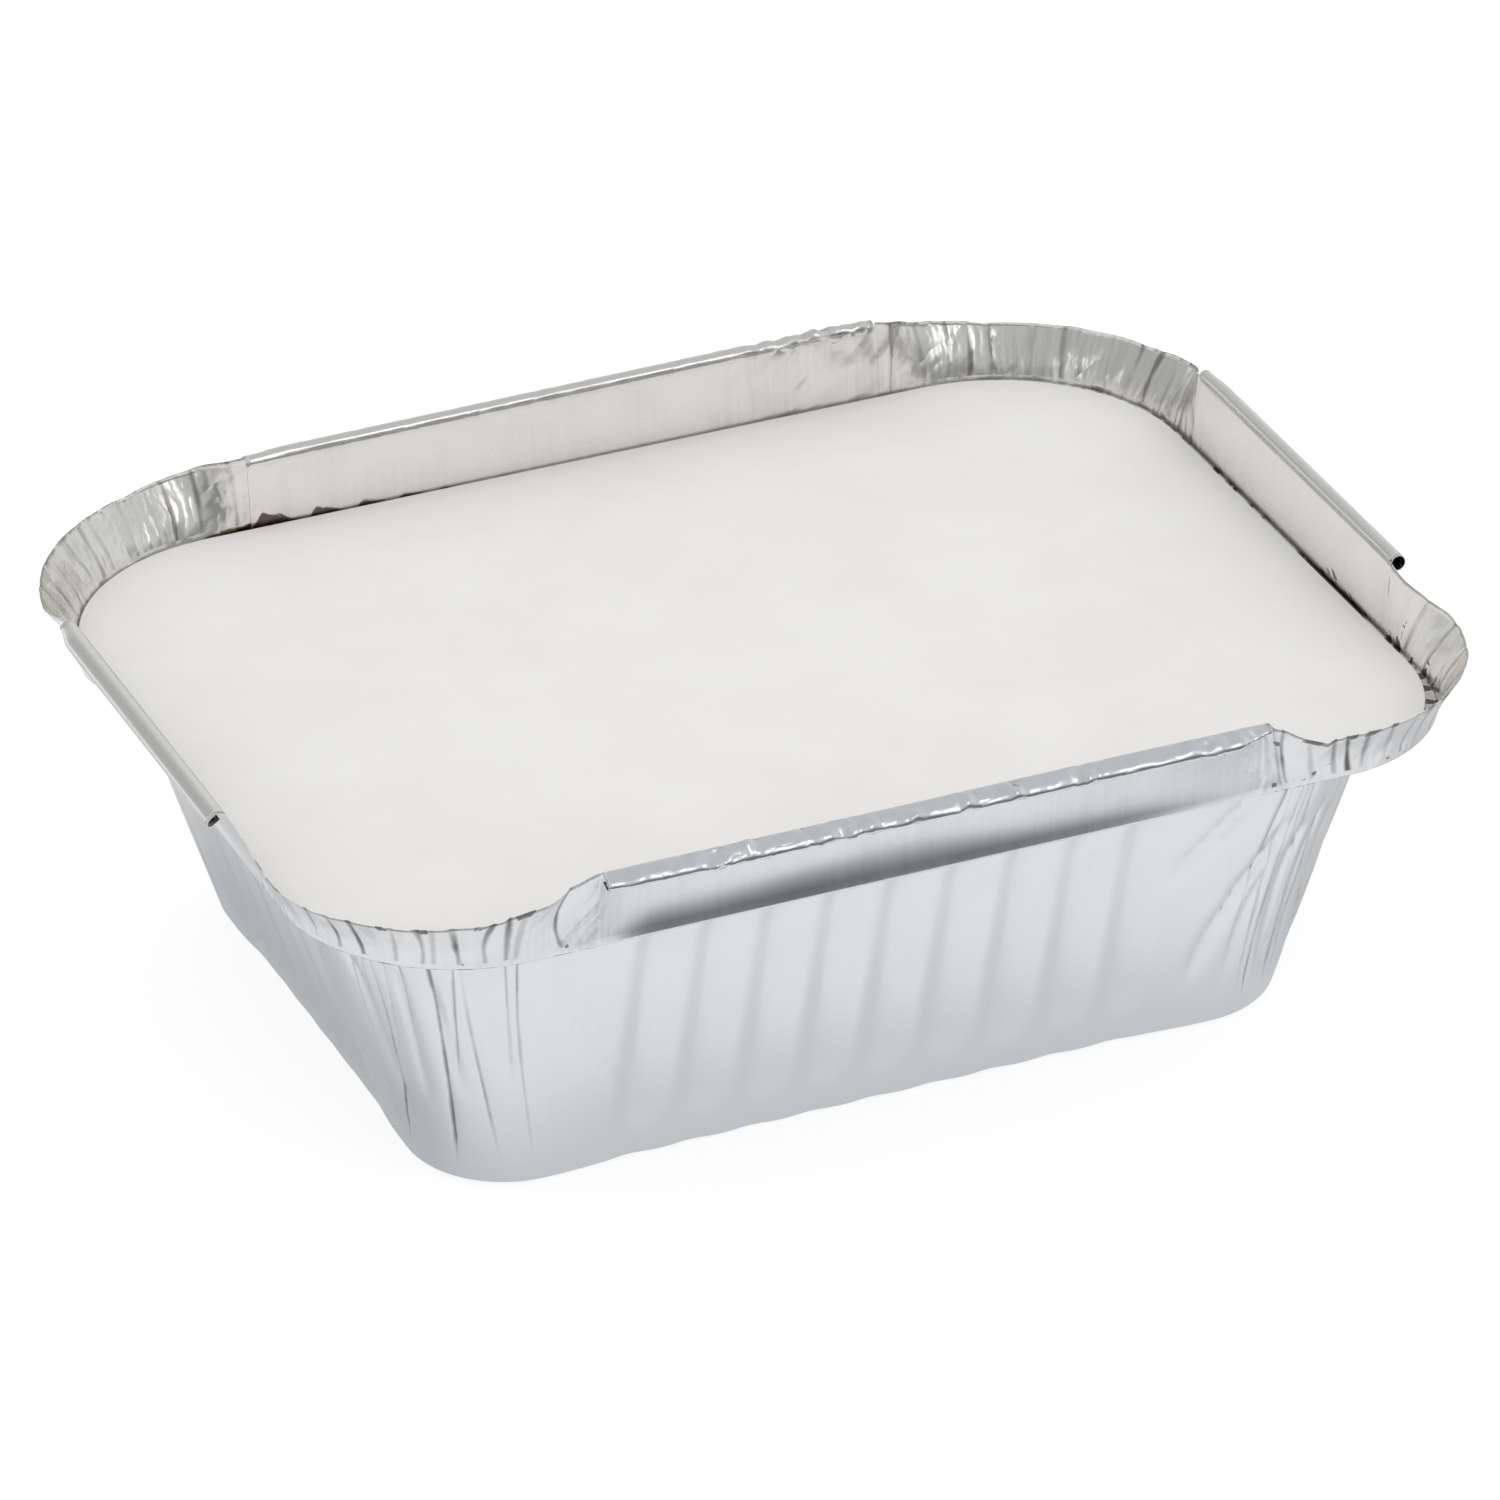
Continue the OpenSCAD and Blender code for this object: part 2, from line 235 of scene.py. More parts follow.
# Dents of the other flanges: round the near and the far corners, and along the sides and how much more at
# their ends, over a length
NEAR_DENTS = 0.12
FAR_DENTS = 0.26
SIDE_DENTS = (0.02, 0.10)
END_LENGTH = 10 * MM
# How crumpled the flange is round each corner, and how ragged its rim is at the far and the near ones
CORNER_CRUMPLES = (0.25, 0.5, 0.5, 0.2)
RAGGED_FAR = 0.12 * MM
RAGGED_NEAR = 0.3 * MM

# Flutes
FLUTE_COUNT = (9, 6, 9, 6)
FLUTE_SHIFT = (-1.5 * MM, 0, 1.5 * MM, 0)
FLUTE_PITCH = 10.35 * MM
FLUTE_DEPTH = 1.25 * MM
FLUTE_HALF = 4.7 * MM
FLUTE_FLAT = 1.1 * MM
FLUTE_SOFT = 0.15
# How far under the ledge the flutes end, and the length over which they fade
FLUTE_FADE = (0.5 * MM, 4.5 * MM)
FLUTE_FOOT_Z = 9.5 * MM
FLUTE_BASE_DEPTH = (0.4 * MM, 0.1 * MM, 0.4 * MM, 0.1 * MM)
BASE_RECESS = 0.7 * MM
RECESS_BLEND = 14 * MM

# Cells of the grid
SIDE_CELLS = (140, 66, 108, 66)
PLEAT_CELLS = 9
BASE_ROWS = 2
EDGE_ROWS = 4
WALL_ROWS = 19
FOLD_ROWS = 2
LEDGE_ROWS = 2
NOSE_ROWS = 4
FLANGE_ROWS = 12
HEM_ROWS = 14

# Pleats of a corner, one a row. Shares of the way round it, at the rim and at the flange's foot, and the bow
# between the two; shares at the wall's top, middle and low end; then how dark the crease's painted shade is
# at the rim, half way down the flange and at its foot, and on the wall 44, 33, 22 and 11 mm above the base.
NEAR_PLEATS = (
    (0.05, 0.05, 0, 0.05, 0.05, 0.05, 0.1, 0.1, 0.1, 0, 0, 0, 0),
    (0.12, 0.12, 0, 0.12, 0.12, 0.11, 0.4, 0.2, 0, 0, 0, 0, 0),
    (0.20, 0.20, 0, 0.237, 0.232, 0.195, 0.3, 0.1, 0.1, 0.45, 0.1, 0.1, 0.1),
    (0.29, 0.29, 0, 0.30, 0.28, 0.22, 0.6, 0.5, 0.1, 0.3, 0.05, 0, 0),
    (0.355, 0.362, 0.004, 0.338, 0.333, 0.25, 0.3, 0.95, 0.3, 0.1, 0.65, 0.9, 0.8),
    (0.415, 0.43, 0, 0.39, 0.36, 0.30, 0.7, 1, 0.7, 0.3, 0.3, 0, 0),
    (0.516, 0.511, 0, 0.444, 0.44, 0.39, 0.2, 0.35, 0.4, 0.65, 0.1, 0, 0),
    (0.570, 0.573, 0.006, 0.538, 0.541, 0.521, 0.6, 0.5, 0.4, 0.8, 0.9, 0.95, 0.9),
    (0.603, 0.60, 0, 0.61, 0.59, 0.57, 0.2, 0.3, 0.3, 0.5, 0.6, 0, 0),
    (0.646, 0.66, 0, 0.635, 0.656, 0.715, 0.3, 0.9, 0.3, 0.1, 0.45, 0.9, 0.2),
    (0.735, 0.724, -0.014, 0.765, 0.777, 0.80, 0.85, 0.6, 0.3, 0.65, 0.3, 0, 0),
    (0.766, 0.768, 0, 0.80, 0.812, 0.87, 0.95, 0.6, 0.5, 0.85, 0.4, 0.35, 0.2),
    (0.80, 0.79, 0, 0.86, 0.87, 0.91, 0.3, 0.3, 0.3, 0, 0, 0, 0),
    (0.915, 0.916, -0.03, 0.93, 0.94, 0.95, 0.8, 0.9, 0.4, 0, 0, 0, 0),
)
RIGHT_PLEATS = (
    (0.012, 0.05, 0, 0.03, 0.03, 0.03, 0.3, 0.5, 0.5, 0, 0, 0, 0),
    (0.035, 0.068, -0.012, 0.148, 0.08, 0.055, 0.5, 0.9, 0.4, 0.9, 0.35, 0.1, 0),
    (0.09, 0.13, 0, 0.172, 0.143, 0.14, 0.2, 0.3, 0.3, 0.1, 0.3, 0.4, 0.2),
    (0.153, 0.186, 0, 0.215, 0.185, 0.182, 0.6, 0.6, 0.3, 0.1, 0.2, 0.7, 0.9),
    (0.187, 0.222, 0, 0.245, 0.22, 0.225, 0.9, 1, 0.95, 0.1, 0.1, 0, 0.1),
    (0.24, 0.255, 0, 0.27, 0.26, 0.27, 0.7, 0.6, 0.1, 0.6, 0.1, 0.1, 0.1),
    (0.298, 0.32, 0, 0.31, 0.30, 0.32, 0.6, 0.3, 0.2, 0, 0.1, 0.3, 0.6),
    (0.36, 0.37, 0, 0.36, 0.34, 0.365, 0.3, 0.3, 0.5, 0, 0.3, 0.35, 0.2),
    (0.41, 0.42, 0, 0.43, 0.43, 0.43, 0.7, 0.4, 0.1, 0.1, 0.2, 0.1, 0.1),
    (0.49, 0.50, 0, 0.50, 0.50, 0.50, 0.5, 0.4, 0.5, 0.1, 0.2, 0.1, 0.1),
    (0.57, 0.59, 0.01, 0.58, 0.58, 0.58, 0.4, 0.6, 0.3, 0.1, 0.2, 0.1, 0.1),
    (0.66, 0.68, 0, 0.67, 0.67, 0.67, 0.2, 0.5, 0.6, 0.1, 0.2, 0.1, 0.1),
    (0.76, 0.80, 0, 0.78, 0.77, 0.77, 0.5, 0.3, 0.7, 0.1, 0.1, 0.1, 0.1),
    (0.86, 0.90, 0, 0.88, 0.88, 0.88, 0.3, 0.2, 0.8, 0.1, 0.1, 0.1, 0.1),
)
PLEAT_COUNT = len(NEAR_PLEATS)
PLEAT_GAP = 0.012
WALL_STOPS = (8, 28, 45)
WALL_SHADES = (11, 22, 33, 44)
FLANGE_PLEAT_DEPTH = 0.3 * MM
WALL_CREASE_DEPTH = 0.55 * MM
# Widths of a pleat's sharp and soft flanks, on the flange and on the wall
FLANGE_FLANKS = (0.3 * MM, 1.0 * MM)
WALL_FLANKS = (0.3 * MM, 1.2 * MM)
# Crinkle of the wall's corners, and the heights over which the creases' painted shade, depth and crinkle come
# in
WALL_CRINKLE = 0.14
WALL_SHADE_FROM = (4 * MM, 7 * MM)
CREASE_RISE = 9 * MM
CRINKLE_RISE = 12 * MM
# Slow waves of the walls: depth, length, and the height over which they come in
WAVE_DEPTH = 0.12 * MM
WAVE_LENGTH = 26 * MM
WAVE_RISE = 8 * MM
# Painted shadows of the rim where it is folded over, as dark dashes along the corners' rims: corner, share of
# the way round, half width as a share, and darkness
RIM_DASHES = ((3, 0.10, 0.02, 0.95), (3, 0.17, 0.026, 0.95), (3, 0.30, 0.01, 0.4), (3, 0.49, 0.014, 0.9),
              (3, 0.585, 0.014, 0.8), (3, 0.70, 0.011, 0.7), (3, 0.80, 0.02, 0.95), (0, 0.10, 0.03, 0.6),
              (0, 0.15, 0.01, 0.8), (0, 0.205, 0.012, 0.9), (0, 0.25, 0.015, 1.0), (0, 0.30, 0.008, 0.7),
              (0, 0.40, 0.012, 0.8), (0, 0.46, 0.02, 0.9), (1, 0.3, 0.02, 0.3), (2, 0.6, 0.02, 0.3))
# Painted shade in dents of the flanges: corner, share, height above the foot and radius in millimetres,
# darkness
FLANGE_SPOTS = ((0, 0.025, 9.6, 0.65, 0.95), (0, 0.105, 1.2, 0.6, 0.9), (0, 0.13, 2.0, 0.6, 0.9),
                (0, 0.03, 1.0, 0.7, 0.9), (0, 0.165, 3.6, 0.6, 0.85), (0, 0.33, 1.0, 0.7, 0.85),
                (3, 0.44, 0.6, 0.6, 0.8), (3, 0.665, 0.6, 0.6, 0.75), (3, 0.92, 0.8, 0.6, 0.8),
                (3, 0.05, 3.0, 0.7, 0.8))
# Wedges of painted shadow in the gap beside the card: place along the back and its height and length, and
# place along the right side and its height, in millimetres
BACK_WEDGES = ((54.5, 3.6, 9), (45, 2.5, 8), (36.6, 2.0, 7), (29, 1.2, 6), (22, 0.8, 6), (12, 0.5, 7))
RIGHT_WEDGES = ((26.5, 0.5), (22, 0.6), (19, 0.4), (13.2, 0.35), (8.4, 0.3), (-5, 0.8), (-11, 1.0),
                (-17.1, 1.3))
# The painted shade's height in the gap elsewhere, in millimetres: along the back, where it is deeper to the
# left, with where that starts and its length; on the right, with the start and length of its two tapered
# ends; and at the start, middle and end of each corner, where below zero there is no painted shade
BACK_GAP = (0.12, 0.5)
BACK_GAP_FROM = (6 * MM, 30 * MM)
RIGHT_GAP_NEAR = (1 * MM, 14 * MM)
RIGHT_GAP_FAR = (-32 * MM, 8 * MM)
CORNER_GAPS = ((0, -1.2, 0), (0, 0.1, 0.1), (1.4, 0.3, 0.1), (0, 0, 0))
CORNER_GAP_BLEND = 0.25
# Painted shade specks in the gap at the right corner's foot: share of the way round and height in millimetres
CORNER_SPECKS = ((0.60, 1.6), (0.66, 0.8), (0.73, 1.8), (0.79, 2.2), (0.86, 1.4), (0.93, 2.4), (0.975, 1.6))
# Soft folds of the walls beside two corners: places round from the corner's start and heights, in
# millimetres, then the fold's half width and depth, also in millimetres. The scale deepens them all.
RIGHT_FOLD_SCALE = 1.7
RIGHT_FOLDS = (
    (((8.0, 38), (5.9, 34), (3.4, 31), (1.2, 26.5), (-2.5, 19), (-4, 12)), 1.5, 0.55),
    (((1.8, 47), (-2.0, 43), (-5.5, 39), (-10, 34)), 2.0, 0.45),
    (((13.2, 37), (10.8, 32.7), (9.6, 26.8), (9.0, 17), (9.2, 10)), 1.2, 0.4),
    (((17.5, 40), (15.0, 34), (13.2, 26), (12.6, 14)), 0.9, 0.3),
    (((20.0, 38), (18.7, 31), (18.0, 21), (20.0, 8)), 1.3, 0.35),
    (((6.2, 30), (4.2, 24), (3.0, 18), (2.2, 10)), 1.2, 0.35),
    (((26.0, 40), (25.0, 30), (25.5, 12)), 1.6, 0.3),
)
NEAR_FOLD_SCALE = 1.3
NEAR_FOLDS = (
    (((12.6, 46), (13.2, 38), (12.4, 26), (11.8, 12), (10.5, 5)), 1.1, 0.4),
    (((22.0, 44), (20.5, 34), (17.5, 18)), 1.0, 0.25),
    (((27.0, 42), (26.5, 34), (24.0, 20)), 1.2, 0.25),
    (((33.0, 45), (33.5, 34), (33.0, 24)), 0.9, 0.25),
    (((38.0, 44), (38.5, 38), (39.0, 30)), 1.0, 0.2),
    (((46.5, 40), (47.5, 30), (50.0, 14)), 1.3, 0.2),
)


def smooth(value):
    """Smooth step: 0 below 0, 1 above 1, and 3x^2 - 2x^3 between."""
    x = np.clip(value, 0, 1)
    return x * x * (3 - 2 * x)


def rise(value, start, length):
    """Smooth step from 0 at the start to 1 at a length past it."""
    return smooth((value - start) / length)


def bump(value, centre, width):
    """Bell curve round a centre: e to the minus square of the distance over the width."""
    return np.exp(-(((value - centre) / width) ** 2))


def random_pleats(seed):
    """Pleats for a corner seen only from inside the rim, or not at all: even places with seeded shifts."""
    rng = np.random.default_rng(seed)
    place = (np.arange(PLEAT_COUNT) + 0.9 + rng.uniform(-0.3, 0.3, PLEAT_COUNT)) / (PLEAT_COUNT + 0.8)
    drift = rng.uniform(-0.012, 0.012, (4, PLEAT_COUNT))
    shades = rng.choice([0.05, 0.2, 0.4, 0.7], (7, PLEAT_COUNT))
    bow = rng.uniform(-0.006, 0.006, PLEAT_COUNT)
    rim_and_foot, wall = [place, place + drift[0]], place + drift[1:]
    return np.column_stack([*rim_and_foot, bow, *wall, *shades[:3], *(0.5 * shades[3:])])


CORNER_PLEATS = (np.array(RIGHT_PLEATS), random_pleats(5), random_pleats(11), np.array(NEAR_PLEATS))


def phases(points, size, count, seed, turn):
    """Phases at the points of waves of random direction, each of which makes its turn in about size."""
    rng = np.random.default_rng(seed)
    for _ in range(count):
        way = rng.normal(size=3)
        way *= turn / (size * rng.uniform(0.7, 1.5) * np.linalg.norm(way))
        yield points @ way + rng.uniform(0, turn)


def waves(points, size, count, seed):
    """Mean of sine waves with wavelengths about size, between -1 and 1."""
    return sum(np.sin(phase) for phase in phases(points, size, count, seed, 2 * math.pi)) / count


def folds(points, size, count, seed):
    """Mean of absolute sine waves: flat facets between straight sharp creases, as in crumpled foil."""
    creases = (np.abs(np.sin(phase)) for phase in phases(points, size, count, seed, math.pi))
    return sum(crease - 2 / math.pi for crease in creases) / count


def corner_sizes(side, half, r):
    """Lengths of the short straight, the arc and the second short straight that make up a corner."""
    reach, off = (half[0], half[1]) if side % 2 == 0 else (half[1], half[0])
    lead = reach - r[side] - HEM_HALF[side]
    trail = off - r[side] - HEM_HALF[(side + 1) % 4]
    return reach, off, lead, r[side] * math.pi / 2, trail


def ring(half, r, places):
    """Rounded rectangle with its own radius r for each corner, as places (x, y) and outward directions.

    Along a side the place is the distance from the side's middle. Round a corner it is the share of the way
    along a short straight, a quarter circle and another short straight.
    """
    spots, normals = [], []
    for side in range(4):
        u, v = np.array(ALONG[side], float), np.array(OUTWARD[side], float)
        reach, off, lead, arc, trail = corner_sizes(side, half, r)
        place = places[side][0]
        off_side = off + 0 * place
        spots.append(place[..., None] * u + off_side[..., None] * v)
        normals.append(np.broadcast_to(v, spots[-1].shape))
        way = places[side][1] * (lead + arc + trail)
        turn = np.clip((way - lead) / r[side], 0, math.pi / 2)
        on_u = HEM_HALF[side] + np.minimum(way, lead) + r[side] * np.sin(turn)
        on_v = off - r[side] + r[side] * np.cos(turn) - np.maximum(way - lead - arc, 0)
        spots.append(on_u[..., None] * u + on_v[..., None] * v)
        normals.append(np.sin(turn)[..., None] * u + np.cos(turn)[..., None] * v)
    return np.concatenate(spots, axis=-2), np.concatenate(normals, axis=-2)


def in_order(stops):
    """The pleats' places, moved on where they would meet, so that a small gap stays between neighbours."""
    room = PLEAT_GAP * np.arange(PLEAT_COUNT)
    return np.maximum.accumulate(stops - room, axis=-1) + room


def wall_stops(z):
    """Places of the four corners' pleats on the wall: a parabola through their top, middle and low places."""
    low, middle, high = WALL_STOPS
    t = np.clip(z / MM, low - 5, high + 2)
    low_part = (t - middle) * (t - high) / ((low - middle) * (low - high))
    mid_part = (t - low) * (t - high) / ((middle - low) * (middle - high))
    high_part = (t - low) * (t - middle) / ((high - low) * (high - middle))
    places = [p[:, 5] * low_part + p[:, 4] * mid_part + p[:, 3] * high_part for p in CORNER_PLEATS]
    return in_order(np.array(places))


def flange_stops(share):
    """Places of the four corners' pleats on the flange: a straight line from foot to rim, and a bow."""
    bow = 4 * share * (1 - share)
    return in_order(np.array([p[:, 1] + (p[:, 0] - p[:, 1]) * share + p[:, 2] * bow for p in CORNER_PLEATS]))


SIDE_PLACES = [np.linspace(-HEM_HALF[s], HEM_HALF[s], SIDE_CELLS[s] + 1) for s in range(4)]


def places_for(stops):
    """Places of all stations, the corners' being the pleats' places with cosine-spaced ones between them."""
    step = (1 - np.cos(math.pi * np.arange(PLEAT_CELLS) / PLEAT_CELLS)) / 2
    places = []
    for s in range(4):
        ends = np.concatenate([[0], stops[s], [1]])
        inside = ends[:-1, None] + (ends[1:] - ends[:-1])[:, None] * step
        places.append((SIDE_PLACES[s], inside.ravel()[1:]))
    return places


def joined(places):
    """The places of all stations in one row."""
    return np.concatenate([p for pair in places for p in pair])


foot_stops = flange_stops(0)
foot_places = places_for(foot_stops)
side_of = np.concatenate([np.full(len(p), s) for s in range(4) for p in foot_places[s]])
in_corner = np.concatenate([np.full(len(p), k == 1) for s in range(4) for k, p in enumerate(foot_places[s])])
place_of = joined(foot_places)
station_count = len(place_of)
hem_half = np.array(HEM_HALF)[side_of]
foot_spots, foot_normals = ring(FOOT_HALF, FOOT_R, foot_places)
front_side = (side_of == FRONT) & ~in_corner
back_side = (side_of == BACK) & ~in_corner
far_corners = in_corner & ((side_of == RIGHT) | (side_of == BACK))
near_corners = in_corner & ~far_corners


def by_station(side_values, corner_values, blend):
    """One value a station: the side's own, turning into the corner's over a share of the corner."""
    side_values, corner_values = np.array(side_values, float), np.array(corner_values, float)
    following = side_values[(side_of + 1) % 4]
    own = np.where(in_corner & (place_of > 0.5), following, side_values[side_of])
    share = np.where(in_corner, smooth(np.minimum(place_of, 1 - place_of) / blend), 0)
    return own + (corner_values[side_of] - own) * share


def station_lengths(half, r):
    """Length of the corner that each station is in, along a ring of that size."""
    total = [sum(corner_sizes(s, half, r)[2:]) for s in range(4)]
    return np.array(total)[side_of]


def pleat_gaps(places, stops, half, r):
    """Distance of each station from each pleat of its corner, along a ring: pleats by stations, in metres."""
    return (joined(places)[None] - stops[side_of].T) * station_lengths(half, r)


def pleat_valleys(gaps, sharp, soft):
    """Depth of each pleat's valley at each station: 1 on the pleat, falling off exponentially.

    One flank is sharp and the other soft, in turn, so that the pleats look folded over.
    """
    turn = (np.arange(PLEAT_COUNT) % 2 == 0)[:, None]
    width = np.where((gaps > 0) == turn, sharp, soft)
    return np.where(in_corner, np.exp(-np.abs(gaps) / width), 0)


def nearest_pleat(gaps, shade):
    """Distance of each station from the nearest pleat, and the darkness of that pleat's painted crease shade.
    """
    away = np.abs(gaps)
    nearest = np.argmin(away, axis=0)
    stations = np.arange(station_count)
    gap = np.where(in_corner, away[nearest, stations], 1)
    return gap, np.where(in_corner, shade[nearest, stations], 0)


def pleat_shades(spots, columns, spot):
    """Darkness of each pleat's painted crease shade at a height, between the values given at a few: pleats by
    stations.
    """
    table = [[np.interp(spot, spots, pleat[columns]) for pleat in CORNER_PLEATS[s]] for s in range(4)]
    return np.array(table)[side_of].T


def way_from(corner, shares, lengths):
    """Distance round the wall from a corner's start, for the stations in it and on the two sides it joins."""
    following = (corner + 1) % 4
    here = in_corner & (side_of == corner)
    before = ~in_corner & (side_of == corner)
    after = ~in_corner & (side_of == following)
    way = np.full(station_count, 1.0)
    way[before] = shares[before] - HEM_HALF[corner]
    way[here] = shares[here] * lengths[here]
    way[after] = lengths[here][0] + shares[after] + HEM_HALF[following]
    return way


def soft_folds(way, z, lines):
    """How far soft folds press the wall in: bells across each line, fading at its two ends."""
    total = np.zeros(station_count)
    for points, width, depth in lines:
        places, heights = np.array(points[::-1]).T * MM
        across = way - np.interp(z, heights, places)
        fade = smooth((z - heights[0] + 3 * MM) / (6 * MM)) * smooth((heights[-1] - z + 2 * MM) / (4 * MM))
        total = total + depth * MM * fade * bump(across, 0, width * MM)
    return total


def flutes(z):
    """How far the grooves go in, rows by stations: a stadium shape with a rounded lower end.

    The distance to the groove's middle line, or to its lower end point, sets the depth: a straight flank with
    softened ends. Below that end a shallow part of the groove runs on into the base's edge.
    """
    deep = np.zeros((len(z), station_count))
    low = np.zeros((len(z), station_count))
    for s in range(4):
        mine = (side_of == s) & ~in_corner
        x = place_of[mine] - FLUTE_SHIFT[s]
        span = (FLUTE_COUNT[s] - 1) / 2
        nearest = np.clip(np.round(x / FLUTE_PITCH + span), 0, FLUTE_COUNT[s] - 1) - span
        across = x - nearest * FLUTE_PITCH
        below = np.minimum(z[:, None] - FLUTE_FOOT_Z, 0)
        away = np.hypot(across[None, :], below)
        flank = np.clip((FLUTE_HALF - away) / (FLUTE_HALF - FLUTE_FLAT), 0, 1)
        deep[:, mine] = (1 - FLUTE_SOFT) * flank + FLUTE_SOFT * smooth(flank)
        low[:, mine] = FLUTE_BASE_DEPTH[s] * smooth((FLUTE_HALF - np.abs(across)) / FLUTE_HALF)[None, :]
    fade = rise(LEDGE_Z - z, *FLUTE_FADE)
    return np.maximum(FLUTE_DEPTH * deep * fade[:, None], low * (z < FLUTE_FOOT_Z)[:, None])


def recess():
    """How far the fluted stretch of the base's edge lies behind its corners, for each station."""
    return np.where(in_corner, 0, BASE_RECESS * smooth((hem_half - np.abs(place_of)) / RECESS_BLEND))


class Rows:
    """Collects the sheet's rows: points, sheet normals, lengths up the sheet, and what the material reads."""

    def __init__(self):
        self.points, self.normals, self.length = [], [], []
        self.gap, self.shade, self.spot, self.crinkle, self.crumple = [], [], [], [], []

    def add(self, spots, directions, out, z, slope, length, gap=1, shade=0, crinkle=0, spot=0, crumple=0):
        """A row at a distance out from the ring's spots, at height z, where the face's slope is off upright.

        gap is the distance to the nearest pleat and shade the darkness of that pleat's painted crease shade;
        spot is the darkness of painted shade in dents, at folded rims and along the nose, and crinkle and
        crumple are the depths of fine facets and of coarse crumples.
        """
        out, z = np.broadcast_to(out, station_count), np.broadcast_to(z, station_count)
        slope = np.broadcast_to(slope, station_count)
        flat = spots + directions * out[:, None]
        self.points.append(np.column_stack([flat, z]))
        self.normals.append(np.column_stack([directions * np.cos(slope)[:, None], -np.sin(slope)]))
        for row, value in ((self.length, length), (self.gap, gap), (self.shade, shade), (self.spot, spot),
                           (self.crinkle, crinkle), (self.crumple, crumple)):
            row.append(np.broadcast_to(value, station_count))


def base_rows(rows):
    """The flat base, from near its middle to the edge's bend: the boundary ring shrunk towards the middle."""
    half = (BASE_HALF[0] - BASE_EDGE_R, BASE_HALF[1] - BASE_EDGE_R)
    spots, directions = ring(half, BASE_R - BASE_EDGE_R, places_for(wall_stops(0)))
    groove = flutes(np.array([0.0]))[0]
    spots = spots - directions * (recess() + groove)[:, None] + BASE_SHIFT
    for k in range(1, BASE_ROWS + 1):
        share = (k / BASE_ROWS) ** 0.5
        rows.add(spots * share, directions, 0, FOIL, math.pi / 2, -BASE_HALF[1] * (1 - share))


def wall_rows(rows):
    """The base's rounded edge and the drafted wall, with flutes on the sides and creases at the corners."""
    draft = math.atan(((WALL_HALF[0] - BASE_HALF[0]) + (WALL_HALF[1] - BASE_HALF[1])) / 2 / LEDGE_Z)
    slopes = np.linspace(math.pi / 2, draft, EDGE_ROWS + 1)[1:]
    inset = BASE_EDGE_R - (BASE_EDGE_R - FOIL) * np.cos(slopes)
    edge_z = BASE_EDGE_R - (BASE_EDGE_R - FOIL) * np.sin(slopes)
    top_z = LEDGE_Z - FOLD_R * (1 - math.sin(draft))
    up = np.linspace(0, 1, WALL_ROWS + 1)[1:]
    z = np.concatenate([edge_z, edge_z[-1] + (top_z - edge_z[-1]) * up])
    slope = np.concatenate([slopes, np.full(WALL_ROWS, draft)])
    lifts = np.concatenate([np.zeros(EDGE_ROWS), up])
    insets = np.concatenate([inset, np.full(WALL_ROWS, inset[-1])])
    groove = flutes(z)
    for j in range(len(z)):
        share = lifts[j]
        half = tuple((b - insets[j]) * (1 - share) + w * share for b, w in zip(BASE_HALF, WALL_HALF))
        r = (BASE_R - insets[j]) * (1 - share) + WALL_R * share
        stops = wall_stops(z[j])
        places = places_for(stops)
        spots, directions = ring(half, r, places)
        gaps = pleat_gaps(places, stops, half, r)
        shade = pleat_shades(WALL_SHADES, slice(12, 8, -1), z[j] / MM) * rise(z[j], *WALL_SHADE_FROM)
        depth = (0.05 + 0.95 * shade) * smooth(z[j] / CREASE_RISE)
        out = -groove[j] - recess() * (1 - share)
        out = out - WALL_CREASE_DEPTH * np.max(pleat_valleys(gaps, *WALL_FLANKS) * depth, axis=0)
        lengths = station_lengths(half, r)
        shares = joined(places)
        out = out - RIGHT_FOLD_SCALE * soft_folds(way_from(FRONT, shares, lengths), z[j], RIGHT_FOLDS)
        out = out - NEAR_FOLD_SCALE * soft_folds(way_from(LEFT, shares, lengths), z[j], NEAR_FOLDS)
        here = np.column_stack([spots, np.full(station_count, z[j])])
        out = out + WAVE_DEPTH * waves(here, WAVE_LENGTH, 6, 3) * smooth(z[j] / WAVE_RISE)
        crinkle = np.where(in_corner, WALL_CRINKLE, 0) * smooth(z[j] / CRINKLE_RISE)
        moved = spots + np.array(BASE_SHIFT) * (1 - share)
        # The nearest pleat and its darkness set the painted shade line in each crease
        pleats = nearest_pleat(gaps, shade)
        rows.add(moved, directions, out, z[j], slope[j], z[j] / math.cos(draft), *pleats, crinkle)
    return draft, top_z


def ledge_rows(rows, draft, top_z):
    """The fold from the wall to the flat ledge, and the ledge as far as the nose that turns up."""
    spots, directions = ring(WALL_HALF, WALL_R, places_for(wall_stops(top_z)))
    length = LEDGE_Z / math.cos(draft)
    for k in range(1, FOLD_ROWS + 1):
        slope = draft + (math.pi / 2 - draft) * k / FOLD_ROWS
        out = FOLD_R * (math.cos(draft) - math.cos(slope))
        z = top_z + FOLD_R * (math.sin(slope) - math.sin(draft))
        rows.add(spots, directions, out, z, slope, length + out)
    start = rows.points[-1][:, :2]
    end = foot_spots - foot_normals * NOSE_R
    for k in range(1, LEDGE_ROWS + 1):
        share = k / LEDGE_ROWS
        mid = start + (end - start) * share
        rows.add(mid, foot_normals, 0, LEDGE_Z, math.pi / 2, length + LEDGE_W * share)
    return length + LEDGE_W


def flange_bend():
    """How quickly the flange bends away from its foot's angle, for each station."""
    right_end = rise(place_of, *BEND_TO_RIGHT)
    left_end = BEND_LEFT_SHARE * rise(-place_of, *BEND_TO_LEFT)
    share = np.where(front_side, np.maximum(right_end, left_end), 0)
    return FLANGE_BEND + (FLANGE_BEND_END - FLANGE_BEND) * share


